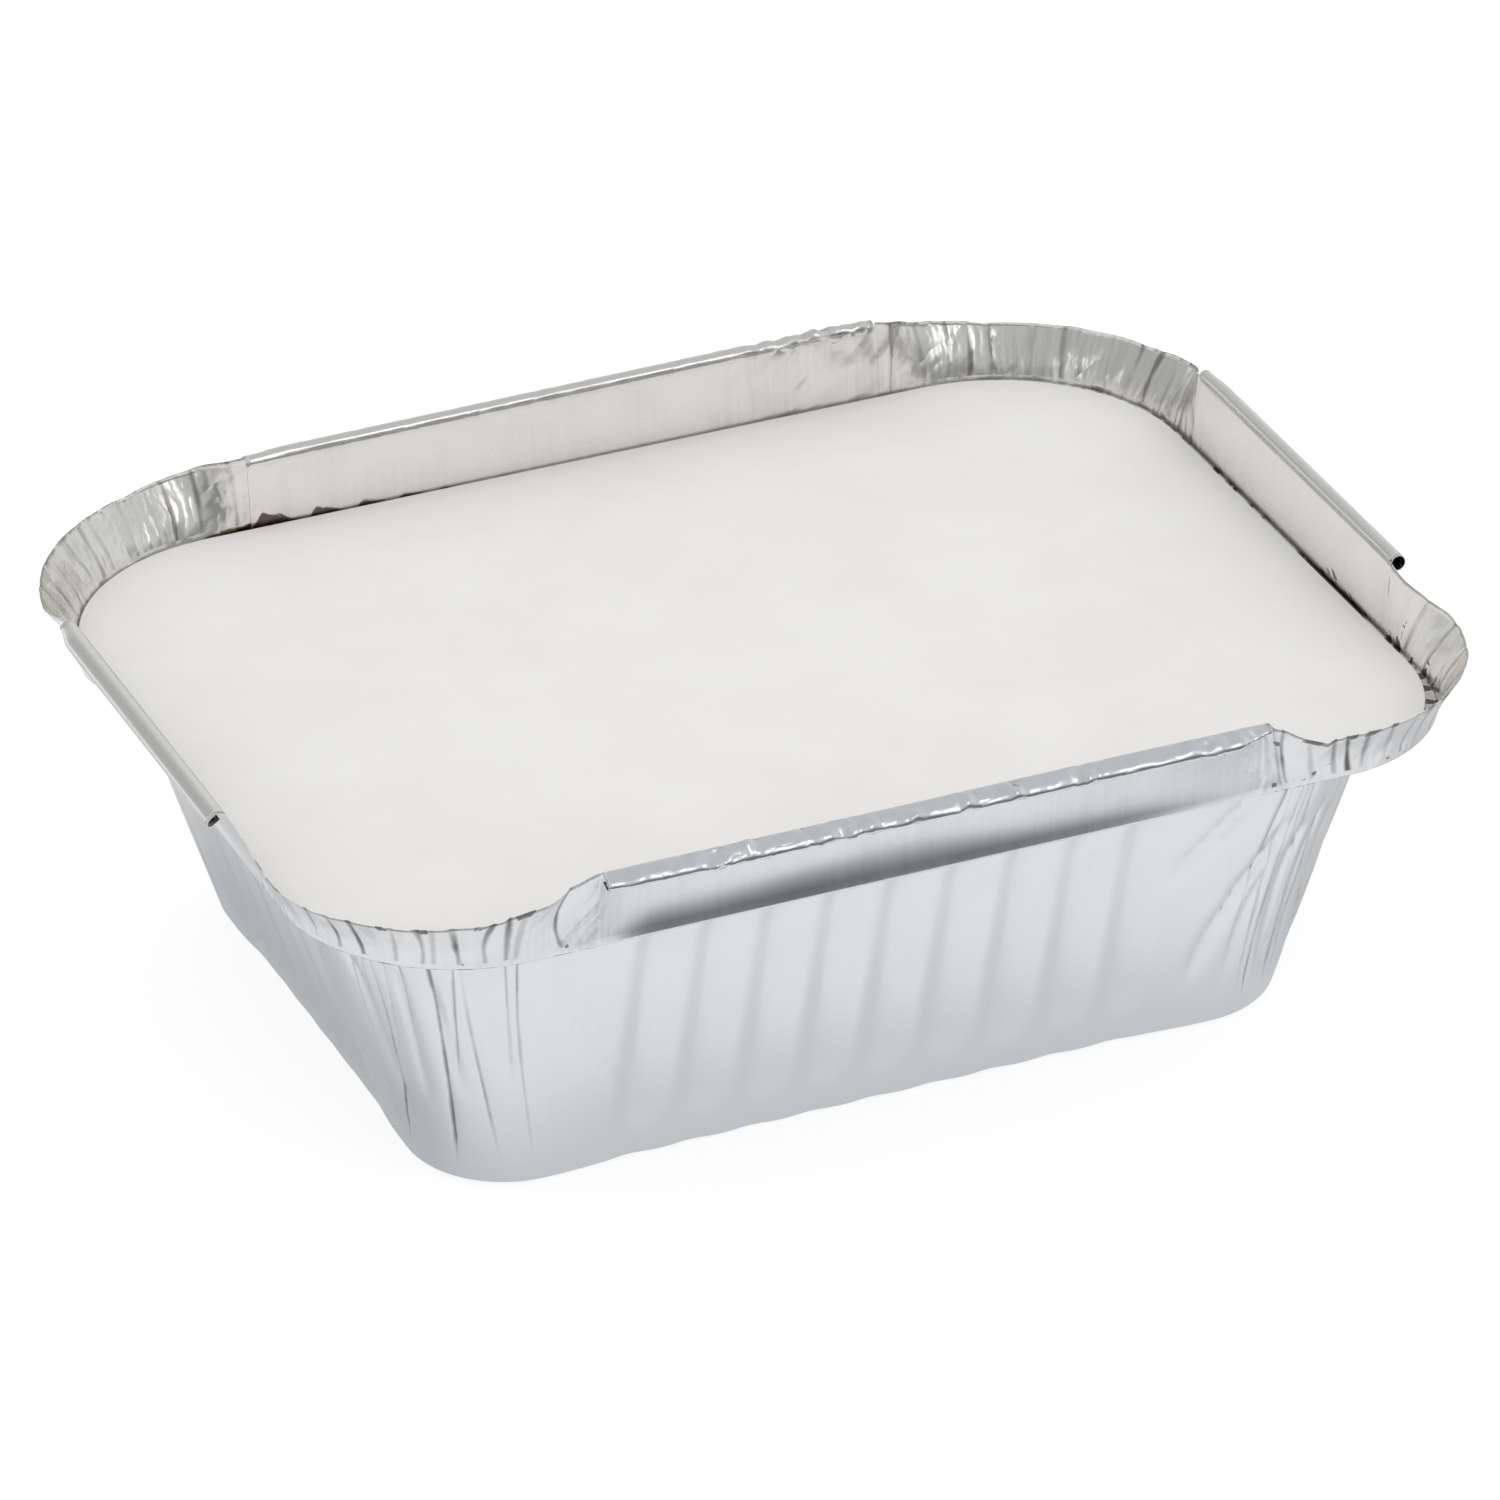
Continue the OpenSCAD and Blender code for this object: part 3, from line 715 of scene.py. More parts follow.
def flange_shape():
    """The flange's angle at its foot and top, and its length up the sheet, for each station."""
    bend = flange_bend()
    foot = by_station(FLANGE_FOOT, CORNER_FOOT, FOOT_BLEND)
    lean = by_station(FLANGE_LEAN, CORNER_LEAN, LEAN_BLEND)
    ends = np.array(FLANGE_FOOT_END, float)
    near_end = rise(np.abs(place_of) - hem_half, *SIDE_TURNS_FROM)
    front_end = rise(place_of, *FRONT_TURNS_FROM)
    near_end = np.where((side_of == FRONT) & (place_of > 0), front_end, near_end)
    near_end = np.where(in_corner, 1, near_end)
    end_foot = by_station(ends, CORNER_FOOT, FOOT_BLEND)
    foot = foot + (end_foot - foot) * near_end
    top = (lean * (bend + 1) - foot) / bend
    start, end = np.array(FLANGE_H)[side_of].T * MM
    height = start + (end - start) * (place_of + hem_half) / (2 * hem_half)
    for s, (shares, lengths) in enumerate(CORNER_HEIGHTS):
        mine = in_corner & (side_of == s)
        height[mine] = np.interp(place_of[mine], shares, lengths) * MM
    return np.radians(foot), np.radians(top), height


def nose_rows(rows, length, foot):
    """The nose: the sheet turns up from the ledge to the flange's angle at its foot."""
    turn = math.pi / 2 - foot
    corner = np.column_stack([foot_spots, np.zeros(station_count)])
    # Painted shade along the nose round the corners, where the flange meets the ledge
    crease = np.where(in_corner, 0.5 + 0.4 * waves(corner, 5 * MM, 4, 9), 0)
    crinkle = np.where(in_corner, 0.6, 0.1)
    for k in range(1, NOSE_ROWS + 1):
        angle = turn * k / NOSE_ROWS
        out = -NOSE_R + NOSE_R * np.sin(angle)
        z = LEDGE_Z + NOSE_R * (1 - np.cos(angle))
        rows.add(foot_spots, foot_normals, out, z, math.pi / 2 - angle, length + NOSE_R * k / NOSE_ROWS,
                 crinkle=crinkle, spot=crease * (k < NOSE_ROWS))
    return out, z


def flange_wear():
    """How crinkled and how crumpled the flange is, for each station."""
    at_back = at_back_ends(BACK_CRINKLES)
    crinkle = np.where(back_side, 0.4 * at_back, 0.5 * end_share(6 * MM))
    crinkle = np.select([far_corners, near_corners], [0.75, 0.5], crinkle)
    crumple = np.where(back_side, 0.55 * at_back, 0)
    return crinkle, np.where(in_corner, np.array(CORNER_CRUMPLES)[side_of], crumple)


def flange_rows(rows, length):
    """The curved flange and its pleats: an angle that changes up the sheet, summed into a profile."""
    foot, top, height = flange_shape()
    corner = np.column_stack([foot_spots, np.zeros(station_count)])
    ragged = np.where(far_corners, RAGGED_FAR, RAGGED_NEAR) * waves(corner, 4 * MM, 5, 8) * in_corner
    height = height - ragged
    bend = flange_bend()
    out, z = nose_rows(rows, length, foot)
    crinkle, crumple = flange_wear()
    step = height / FLANGE_ROWS
    for k in range(1, FLANGE_ROWS + 1):
        share = k / FLANGE_ROWS
        middle = top - (top - foot) * (1 - (k - 0.5) / FLANGE_ROWS) ** bend
        slope = top - (top - foot) * (1 - share) ** bend
        out, z = out + step * np.sin(middle), z + step * np.cos(middle)
        stops = flange_stops(share)
        places = places_for(stops)
        spots, directions = ring(FOOT_HALF, FOOT_R, places)
        gaps = pleat_gaps(places, stops, FOOT_HALF, FOOT_R)
        shade = pleat_shades((0, 0.5, 1), slice(8, 5, -1), share)
        valley = np.max(pleat_valleys(gaps, *FLANGE_FLANKS) * (0.25 + 0.75 * shade), axis=0)
        pleat = FLANGE_PLEAT_DEPTH * smooth(share * 3) * valley
        here = np.column_stack([foot_spots + foot_normals * out[:, None], z])
        dent = flange_dents(here, share)
        # Darkness of the painted shade in dents and of the painted shadows of the rim's folds
        spot = shade_spots(joined(places), share, share * height)
        rows.add(spots, directions, out - pleat * np.cos(slope) + dent, z, slope, length + NOSE_R + step * k,
                 *nearest_pleat(gaps, shade), crinkle, spot, crumple)
    return spots, directions, out + dent, z, height


def shade_spots(shares, share, up):
    """Darkness of the painted shade in the flanges' dents, and of the painted shadows in the dashes at their
    rims, at a row.
    """
    total = np.zeros(station_count)
    lengths = station_lengths(FOOT_HALF, FOOT_R)
    for corner, place, rise, reach, dark in FLANGE_SPOTS:
        away = np.hypot((shares - place) * lengths, up - rise * MM)
        total = np.maximum(total, dark * bump(away, 0, reach * MM) * (in_corner & (side_of == corner)))
    if share > 1 - 1.5 / FLANGE_ROWS:
        for corner, place, reach, dark in RIM_DASHES:
            here = in_corner & (side_of == corner) & (np.abs(shares - place) < reach)
            total = np.maximum(total, dark * here)
    return total


def at_back_ends(ends):
    """A strength that grows towards the back side's right and left ends, for each station."""
    (right, *right_from), (left, *left_from) = ends
    return right * rise(-place_of, *right_from) + left * rise(place_of, *left_from)


def end_share(reach):
    """1 at the ends of the sides and round the corners, falling to 0 over a reach."""
    return np.where(in_corner, 1, rise(np.abs(place_of) - hem_half, -reach, reach))


def flange_dents(here, share):
    """Creases pressed into the flanges: strong at the hems' ends, weak between them."""
    strength = np.where(in_corner, NEAR_DENTS, SIDE_DENTS[0] + SIDE_DENTS[1] * end_share(END_LENGTH))
    strength = np.where(far_corners, FAR_DENTS, strength)
    strength = np.where(back_side, BACK_DENT_LEAST + at_back_ends(BACK_DENTS), strength)
    return strength * MM * folds(here, FLANGE_DENT, 5, 14) * smooth(share * 2.5)


def hem_pinch():
    """How open the hem's roll is at each station: 1 along it, and less at the ends that are pinched."""
    start = np.array([e[0] for e in HEM_ENDS])[side_of]
    end = np.array([e[1] for e in HEM_ENDS])[side_of]
    from_start = smooth((place_of + hem_half) / PINCH_LENGTHS[0])
    from_end = smooth((hem_half - place_of) / PINCH_LENGTHS[1])
    return (start + (1 - start) * from_start) * (end + (1 - end) * from_end)


def hem_rows(rows, spots, directions, out, z, length):
    """The hem: the sheet goes on in short steps whose directions turn outwards, down and back in again."""
    pinch = hem_pinch()
    turns, steps = np.transpose([np.array(section) for section in HEM_SECTIONS], (1, 2, 0))
    sway = waves(np.column_stack([foot_spots, np.zeros(station_count)]), 24 * MM, 4, 17)
    flap = np.where(side_of == LEFT, bump(place_of, FLAP_PLACE, FLAP_HALF), 0)
    for k in range(HEM_ROWS):
        step = steps[k][side_of] * MM * pinch
        turn = turns[k][side_of] + 5 * sway * (side_of == FRONT)
        turn = np.radians(np.minimum(turn, ROLL_TURN - FLAP_TURN * flap))
        out, z = out + step * np.sin(turn), z + step * np.cos(turn)
        length = length + step
        here = np.column_stack([spots + directions * out[:, None], z])
        dent = HEM_R * pinch * hem_dents(here) * smooth((k + 1) / 3)
        crumpled = np.array(HEM_CRUMPLED)[side_of] + MORE_CRUMPLED * crumple_share()
        rows.add(spots, directions, out - dent * np.cos(turn), z + dent * np.sin(turn), turn, length,
                 crinkle=0.08, crumple=crumpled)


def crumple_share():
    """Where the front hem is crumpled: bells round its crumpled places; and the back hem's right end."""
    total = np.zeros(station_count)
    for place, reach in HEM_CRUMPLES:
        total = np.maximum(total, bump(place_of, place * MM, reach * MM))
    total = np.where(side_of == FRONT, total, 0)
    return np.where(side_of == BACK, rise(-place_of, *BACK_HEM_FROM), total)


def hem_dents(here):
    """Dents of the rolled hems as a share of their radius."""
    strength = np.array(HEM_DENTED)[side_of] + MORE_DENTED * crumple_share()
    return strength * folds(here, HEM_DENT, 5, 31)


def halves(quads):
    """Each four-cornered face as two triangles, split the same way on both faces of the sheet."""
    return np.concatenate([quads[:, [0, 1, 2]], quads[:, [0, 2, 3]]])


def sheet_faces(row_count, hem_start):
    """Triangles of the inner face, its outer twin turned round, and the foil's cut edges between the two."""
    stations = np.arange(station_count)
    following = (stations + 1) % station_count
    on_hem = ~in_corner[stations] & ~in_corner[following] & (side_of[stations] == side_of[following])
    on_hem &= place_of[following] < np.array(HEM_STOP)[side_of] + FOIL
    face_size = row_count * station_count
    quads = []
    for j in range(row_count - 1):
        pick = stations if j < hem_start else stations[on_hem]
        a, b = j * station_count + pick, j * station_count + following[pick]
        quads.append(np.column_stack([a, b, b + station_count, a + station_count]))
    inner = halves(np.concatenate(quads))
    outer = inner[:, ::-1] + face_size

    def edge(a, b):
        return np.column_stack([a, b, b + face_size, a + face_size])

    last = (row_count - 1) * station_count
    top = hem_start * station_count
    bare = stations[~on_hem]
    cuts = [edge(last + stations[on_hem], last + following[on_hem]), edge(top + bare, top + following[bare])]
    levels = np.arange(hem_start, row_count - 1) * station_count
    for i in stations[on_hem & ~np.roll(on_hem, 1)]:
        cuts.append(edge(levels + i, levels + station_count + i))
    for i in stations[~on_hem & np.roll(on_hem, 1)]:
        cuts.append(edge(levels + station_count + i, levels + i))
    return inner, outer, halves(np.concatenate(cuts))


def new_mesh(name, points, triangles, shades=None, slots=None, flat=None):
    """A mesh object from arrays of points and triangles, with point attributes, slots and flat faces."""
    used = np.zeros(len(points), bool)
    used[triangles.ravel()] = True
    renumber = np.cumsum(used) - 1
    loops = renumber[triangles].ravel().astype(np.int32)
    mesh = bpy.data.meshes.new(name)
    mesh.vertices.add(int(used.sum()))
    mesh.vertices.foreach_set("co", points[used].astype(np.float32).ravel())
    mesh.loops.add(len(loops))
    mesh.loops.foreach_set("vertex_index", loops)
    mesh.polygons.add(len(triangles))
    mesh.polygons.foreach_set("loop_start", (3 * np.arange(len(triangles))).astype(np.int32))
    mesh.update(calc_edges=True)
    mesh.polygons.foreach_set("use_smooth", np.ones(len(triangles), bool) if flat is None else ~flat)
    if slots is not None:
        mesh.polygons.foreach_set("material_index", slots.astype(np.int32))
    for key, values in (shades or {}).items():
        single = values.ndim == 1
        layer = mesh.attributes.new(key, "FLOAT" if single else "FLOAT_VECTOR", "POINT")
        layer.data.foreach_set("value" if single else "vector", values[used].astype(np.float32).ravel())
    mesh.validate()
    mesh.update()
    piece = bpy.data.objects.new(name, mesh)
    bpy.context.scene.collection.objects.link(piece)
    return piece


def crevice_shade_heights():
    """How high the painted shade of the gap beside the card reaches up the flange, at each station, in
    metres.

    It is a thin line with wedges. A wedge of the back rises steeply and runs out to the right. The right side
    has one long tapered wedge with spikes. Where the value is below zero there is no painted shade.
    """
    right = rise(-place_of, *RIGHT_GAP_NEAR) * rise(place_of, *RIGHT_GAP_FAR)
    back = BACK_GAP[0] + BACK_GAP[1] * rise(place_of, *BACK_GAP_FROM)
    reach = np.select([side_of == BACK, side_of == RIGHT], [back, right], 0)
    for place, high, run in BACK_WEDGES:
        past = (place * MM - place_of) / MM
        wedge = high * np.where(past > 0, np.clip(1 - past / run, 0, 1) ** 1.2, np.clip(1 + past / 0.8, 0, 1))
        reach = np.where(side_of == BACK, np.maximum(reach, wedge), reach)
    for place, high in RIGHT_WEDGES:
        wedge = high * np.clip(1 - np.abs(place * MM - place_of) / (1.6 * MM), 0, 1)
        reach = np.where(side_of == RIGHT, np.maximum(reach, wedge), reach)
    share = smooth(np.minimum(place_of, 1 - place_of) / CORNER_GAP_BLEND)
    first, middle, last = np.transpose(CORNER_GAPS)[:, side_of]
    edge = np.where(place_of < 0.5, first, last)
    round_corner = edge + (middle - edge) * share
    for place, high in CORNER_SPECKS:
        speck = high * bump(place_of, place, 0.012)
        round_corner = np.where((side_of == FRONT) & (speck > 0.3), speck, round_corner)
    return MM * np.where(in_corner, round_corner, reach)


def foil_shades(rows, length, hem_start):
    """What the material reads at the points of both faces, and at the two points in the base's middle."""
    above = np.array(rows.length) - length
    foot = np.broadcast_to(foot_spots, (*above.shape, 2))
    drawn = np.concatenate([foot, above[..., None]], axis=-1).reshape(-1, 3)
    spot = np.array(rows.spot).ravel()
    # The inner face has the same painted shade in dents and at the rim, and painted shade inside the hem's
    # roll
    inner_shade_spot = np.array(rows.spot)
    inner_shade_spot[hem_start + 1:] = 0.5

    def twice(values, end):
        """The values for both faces of the sheet, and one for the two points in the base's middle."""
        both = np.tile(np.array(values).ravel(), 2)
        return np.append(both, [end, end])

    return {
        "drawn": np.concatenate([drawn, drawn, [[0, 0, -length]] * 2]),
        "fold_gap": twice(rows.gap, 1),
        "fold_shade": twice(rows.shade, 0),
        "shade_spot": np.concatenate([spot, inner_shade_spot.ravel(), [0, 0]]),
        "crinkle": twice(rows.crinkle, 0),
        "crumple": twice(rows.crumple, 0),
        "crevice": twice(np.tile(crevice_shade_heights(), len(rows.points)), 0),
    }


def foil_sheet():
    """The whole tray: rows up the sheet for its inner face, and its outer face one foil's thickness away."""
    rows = Rows()
    base_rows(rows)
    draft, top_z = wall_rows(rows)
    length = ledge_rows(rows, draft, top_z)
    spots, directions, out, z, height = flange_rows(rows, length)
    hem_start = len(rows.points) - 1
    hem_rows(rows, spots, directions, out, z, length + height)
    points, normals = np.array(rows.points), np.array(rows.normals)
    row_count = len(points)
    inner, outer, cuts = sheet_faces(row_count, hem_start)
    face_size = row_count * station_count
    all_points = np.concatenate([points.reshape(-1, 3), (points + FOIL * normals).reshape(-1, 3),
                                 [[0, 0, FOIL]], [[0, 0, 0]]])
    stations = np.arange(station_count)
    following = (stations + 1) % station_count
    middle = np.full(station_count, 2 * face_size)
    fan_in = np.column_stack([middle, following, stations])
    fan_out = np.column_stack([middle + 1, stations + face_size, following + face_size])
    shades = foil_shades(rows, length, hem_start)
    faces = np.concatenate([inner[:, ::-1], outer[:, ::-1], cuts, fan_in, fan_out])
    slots = np.concatenate([np.zeros(len(inner)), np.ones(len(outer)), np.full(len(cuts), 2),
                            np.zeros(station_count), np.ones(station_count)])
    flat = np.zeros(len(faces), bool)
    flat[len(inner) + len(outer):len(inner) + len(outer) + len(cuts)] = True
    return new_mesh("foil_sheet", all_points, faces, shades, slots, flat)


def card_sheet():
    """The card lid: rounded rings from the middle of its top, over its soft edge, to its underside."""
    places = [(np.linspace(-HEM_HALF[s], HEM_HALF[s], 25), np.linspace(0, 1, 42)[1:-1]) for s in range(4)]
    spots, directions = ring(card_half, CARD_R, places)
    count = len(spots)
    top, low = card_high.z, card_low.z
    angles = np.linspace(0, math.pi / 2, 4)
    # Each ring: its share of the outline, how far it lies in from that, and its height
    face = [(share, 0, 0) for share in (0.12, 0.3, 0.5, 0.7, 0.85, 0.95)]
    edge = [(1, CARD_SOFT * (1 - math.sin(a)), CARD_SOFT * (1 - math.cos(a))) for a in angles]
    above = [(share, inset, top - drop) for share, inset, drop in face + edge]
    under = [(share, inset, low + drop) for share, inset, drop in (face + edge)[::-1]]
    rings = [np.column_stack([spots * share - directions * inset + card_centre, np.full(count, z)])
             for share, inset, z in above + under]
    stations = np.arange(count)
    following = (stations + 1) % count
    last = (len(rings) - 1) * count
    quads = []
    for start in range(0, last, count):
        a, b = start + stations, start + following
        quads.append(np.column_stack([a, a + count, b + count, b]))
    middle = np.full(count, last + count)
    fans = [np.column_stack([middle, stations, following]),
            np.column_stack([middle + 1, last + following, last + stations])]
    all_points = np.concatenate([*rings, [[*card_centre, top], [*card_centre, low]]])
    return new_mesh("card_sheet", all_points, np.concatenate([halves(np.concatenate(quads)), *fans]))


class Nodes:
    """Short ways to add shader nodes to a material or world. Most give back the new node's output socket."""

    def __init__(self, tree):
        self.tree = tree
        tree.nodes.clear()

    def put(self, socket, value):
        """Fills a socket: links another socket to it, or sets its value."""
        if isinstance(value, bpy.types.NodeSocket):
            self.tree.links.new(value, socket)
        else:
            socket.default_value = value

    def add(self, kind, **inputs):
        """Adds a node. Names with a leading underscore set the node's own settings, others its sockets."""
        node = self.tree.nodes.new("ShaderNode" + kind)
        for key, value in inputs.items():
            if key.startswith("_"):
                setattr(node, key[1:], value)
            else:
                self.put(node.inputs[key.replace("_", " ")], value)
        return node

    def in_turn(self, node, values):
        """Fills a node's sockets in their own order and gives back its first output."""
        for socket, value in zip(node.inputs, values):
            self.put(socket, value)
        return node.outputs[0]

    def math(self, operation, *values):
        """One step of arithmetic on numbers, by the name of its operation."""
        return self.in_turn(self.add("Math", _operation=operation), values)

    def vector(self, operation, *values):
        """One step of arithmetic on vectors, by the name of its operation."""
        return self.in_turn(self.add("VectorMath", _operation=operation), values)

    def pick(self, factor, first, second):
        """The first shader where the factor is 0, and the second where it is 1."""
        return self.in_turn(self.add("MixShader"), (factor, first, second))

    def span(self, value, start, end, low=0.0, high=1.0):
        """A value's place between start and end, as a number between low and high that stays within them."""
        node = self.add("MapRange", Value=value, From_Min=start, From_Max=end, To_Min=low, To_Max=high)
        return node.outputs["Result"]

    def noise(self, place, scale, detail, roughness, output="Fac"):
        """Smooth noise."""
        node = self.add("TexNoise", Vector=place, Scale=scale, Detail=detail, Roughness=roughness)
        return node.outputs[output]

    def blend(self, factor, first, second):
        """The first colour where the factor is 0, and the second where it is 1."""
        return self.add("Mix", _data_type="RGBA", Factor=factor, A=first, B=second).outputs["Result"]

    def relief(self, height, distance, strength=1.0, **others):
        """Surface directions bent by a height over a distance."""
        node = self.add("Bump", Height=height, Distance=distance, Strength=strength, **others)
        return node.outputs["Normal"]

    def attribute(self, name):
        """One number a point, as the foil's mesh holds it."""
        return self.add("Attribute", _attribute_name=name).outputs["Fac"]

    def split(self, vector):
        """X, Y and Z of a vector."""
        return self.add("SeparateXYZ", Vector=vector).outputs


def new_material(name):
    """An empty material with its node helper."""
    material = bpy.data.materials.new(name)
    material.use_nodes = True
    return material, Nodes(material.node_tree)


def streaked_colour(n, place, drawn, height, mottle, crinkle, colour, streak, gathered):
    """Patchy darker streaks drawn up the sheet, deepest low on the flange and where the sheet is gathered,
    there partly painted shade of the crinkles; and a blue-grey tint on the front hem, a painted reflection.
    """
    long = n.vector("MULTIPLY", drawn, (1, 1, STREAK_STRETCH))
    tone = n.span(n.noise(long, STREAK_SCALE, 3, 0.65), 0.35, 0.65)
    patchy = n.math("MULTIPLY", tone, n.span(mottle, 0.36, 0.6, 0.1, 1.2))
    low_flange = n.span(height, 1 * MM, 9 * MM, streak, streak * 0.3)
    deeper = n.math("MULTIPLY_ADD", crinkle, gathered, low_flange)
    depth = n.math("MULTIPLY_ADD", n.span(height, -1 * MM, 1 * MM), deeper, WALL_STREAK)
    hem_reflection_share = n.math("MULTIPLY", n.span(height, *HEM_TINT_FROM), n.span(n.split(place)["Y"], *FRONT_FROM))
    reflection_tinted = n.blend(hem_reflection_share, (*colour, 1), (*HEM_REFLECTION_TINT, 1))
    return n.blend(n.math("MULTIPLY", patchy, depth), reflection_tinted, (*[c * STREAK_DARK for c in colour], 1))


def painted_crease_shade(n, place, height):
    """Painted shade of the folds and dents: a dark line in each fold whose width comes and goes, and ragged
    dark dents.
    """
    width = n.span(n.noise(place, 140, 2, 0.5), 0.3, 0.7, *FOLD_LINE)
    on_flange = n.span(height, -1 * MM, 1 * MM, 1, FLANGE_LINE)
    inside = n.math("SUBTRACT", n.math("MULTIPLY", width, on_flange), n.attribute("fold_gap"))
    line = n.math("MULTIPLY", n.span(inside, -0.1 * MM, 0.4 * MM), n.attribute("fold_shade"))
    raised = n.math("MULTIPLY_ADD", n.noise(place, 700, 2, 0.6), 1.4, n.attribute("shade_spot"))
    return n.math("MAXIMUM", line, n.span(raised, 1.15, 1.35, 0, 0.85))


def painted_crevice_shade(n, place, drawn, height):
    """Painted shade of the gap beside the card: up to the height in its attribute, roughened by leaning
    noise.
    """
    lean = n.vector("MULTIPLY_ADD", height, (0.9, -0.9, 0), drawn)
    jagged = n.noise(n.vector("MULTIPLY", lean, (1, 1, 0.1)), 420, 2.5, 0.6)
    spiky = n.span(n.split(place)["X"], *SPIKES_FROM)
    peak = n.span(jagged, 0.5, 0.68, 0, 2.2)
    ragged = n.math("MULTIPLY_ADD", peak, spiky, n.span(jagged, 0.3, 0.7, 0.7, 1.15))
    above = n.math("SUBTRACT", n.math("MULTIPLY", ragged, n.attribute("crevice")), height)
    below = n.span(height, -2 * MM, -0.6 * MM, 0.35, 1)
    return n.math("MULTIPLY", n.span(above, -0.05 * MM, 0.3 * MM), below)


def crumpled_normal(n, place, drawn, crinkle):
    """Fine facets drawn out up the sheet, and coarse sloping crumples: hollows between sharp creases."""
    wander = n.vector("MULTIPLY_ADD", n.noise(drawn, 220, 2, 0.5, "Color"), FACET_WANDER, drawn)
    long = n.vector("MULTIPLY", wander, (1, 1, FACET_STRETCH))
    facets = n.add("TexVoronoi", Vector=long, Scale=FACET_SCALE).outputs["Distance"]
    fine = n.relief(n.math("MULTIPLY", facets, crinkle), FACET_DEPTH)
    slope, stretch = (0, math.radians(CRUMPLE_SLOPE), 0), (1, 1, CRUMPLE_STRETCH)
    sloping = n.add("Mapping", _vector_type="TEXTURE", Vector=place, Rotation=slope, Scale=stretch)
    hollows = n.noise(sloping.outputs["Vector"], CRUMPLE_SCALE, 1.5, 0.5)
    ridged = n.math("ABSOLUTE", n.math("SUBTRACT", hollows, 0.5))
    return n.relief(n.math("MULTIPLY", ridged, n.attribute("crumple")), CRUMPLE_DEPTH, Normal=fine)


def foil_material(name, colour, dark, roughness, streak, inside=False, metallic=1.0):
    """Foil: drawing streaks up the sheet, crumpled facets where it is gathered, and painted shade in folds,
    dents and gaps.

    The inside also has the painted shade of the gap beside the card, and deeper streaks where it is gathered,
    partly painted shade of the crinkles.
    """
    material, n = new_material(name)
    drawn = n.add("Attribute", _attribute_name="drawn").outputs["Vector"]
    height = n.split(drawn)["Z"]
    place = n.add("TexCoord").outputs["Object"]
    crinkle = n.attribute("crinkle")
    mottle = n.noise(place, 90, 3, 0.55)
    gathered = GATHERED_INSIDE if inside else GATHERED_OUTSIDE
    streaked = streaked_colour(n, place, drawn, height, mottle, crinkle, colour, streak, gathered)
    # Painted shade: the fold lines and dents, and inside also the gap beside the card, turn the colour
    # towards the dark one
    darkness = painted_crease_shade(n, place, height)
    if inside:
        darkness = n.math("MAXIMUM", darkness, painted_crevice_shade(n, place, drawn, height))
    shader = n.add("BsdfPrincipled", Metallic=metallic, Base_Color=n.blend(darkness, streaked, (*dark, 1)),
                   Roughness=n.span(mottle, 0.3, 0.7, roughness - 0.04, roughness + 0.05),
                   Normal=crumpled_normal(n, place, drawn, crinkle))
    n.add("OutputMaterial", Surface=shader.outputs["BSDF"])
    return material


def card_material():
    """White board: matte, with faint clouding and paper fibre."""
    material, n = new_material("card_white")
    place = n.add("TexCoord").outputs["Object"]
    cloud = n.span(n.noise(place, 45, 4, 0.6), 0.35, 0.65)
    fibre = n.relief(n.noise(place, 1300, 4, 0.7), FIBRE_DEPTH, 0.25)
    shader = n.add("BsdfPrincipled", Roughness=0.75, Specular_IOR_Level=0.25, Normal=fibre,
                   Base_Color=n.blend(cloud, *[(*tone, 1) for tone in CARD_TONES]))
    n.add("OutputMaterial", Surface=shader.outputs["BSDF"])
    return material


def grey_ramp(n, factor, stops, tint=ROOM_TINT):
    """Grey levels at stops along a factor, cooler by a tint where they are dark."""
    ramp = n.add("ValToRGB", Fac=factor)
    while len(ramp.color_ramp.elements) < len(stops):
        ramp.color_ramp.elements.new(0.5)
    for element, (spot, level) in zip(ramp.color_ramp.elements, stops):
        element.position = spot
        cool = 1 + tint * (1 - level)
        element.color = (level, level * (1 + cool) / 2, level * cool, 1)
    return ramp.outputs["Color"]


def table_distance(n, place):
    """Distance of a place on the floor from the middle, where 1 is the container's outline: the fifth root of
    the sum of the fifth powers of x and y over its half sizes."""
    share = n.vector("ABSOLUTE", n.vector("MULTIPLY", place, (1 / OUTLINE_HALF[0], 1 / OUTLINE_HALF[1], 0)))
    parts = n.split(share)
    total = n.math("ADD", n.math("POWER", parts["X"], 5), n.math("POWER", parts["Y"], 5))
    return n.math("POWER", total, 1 / 5)


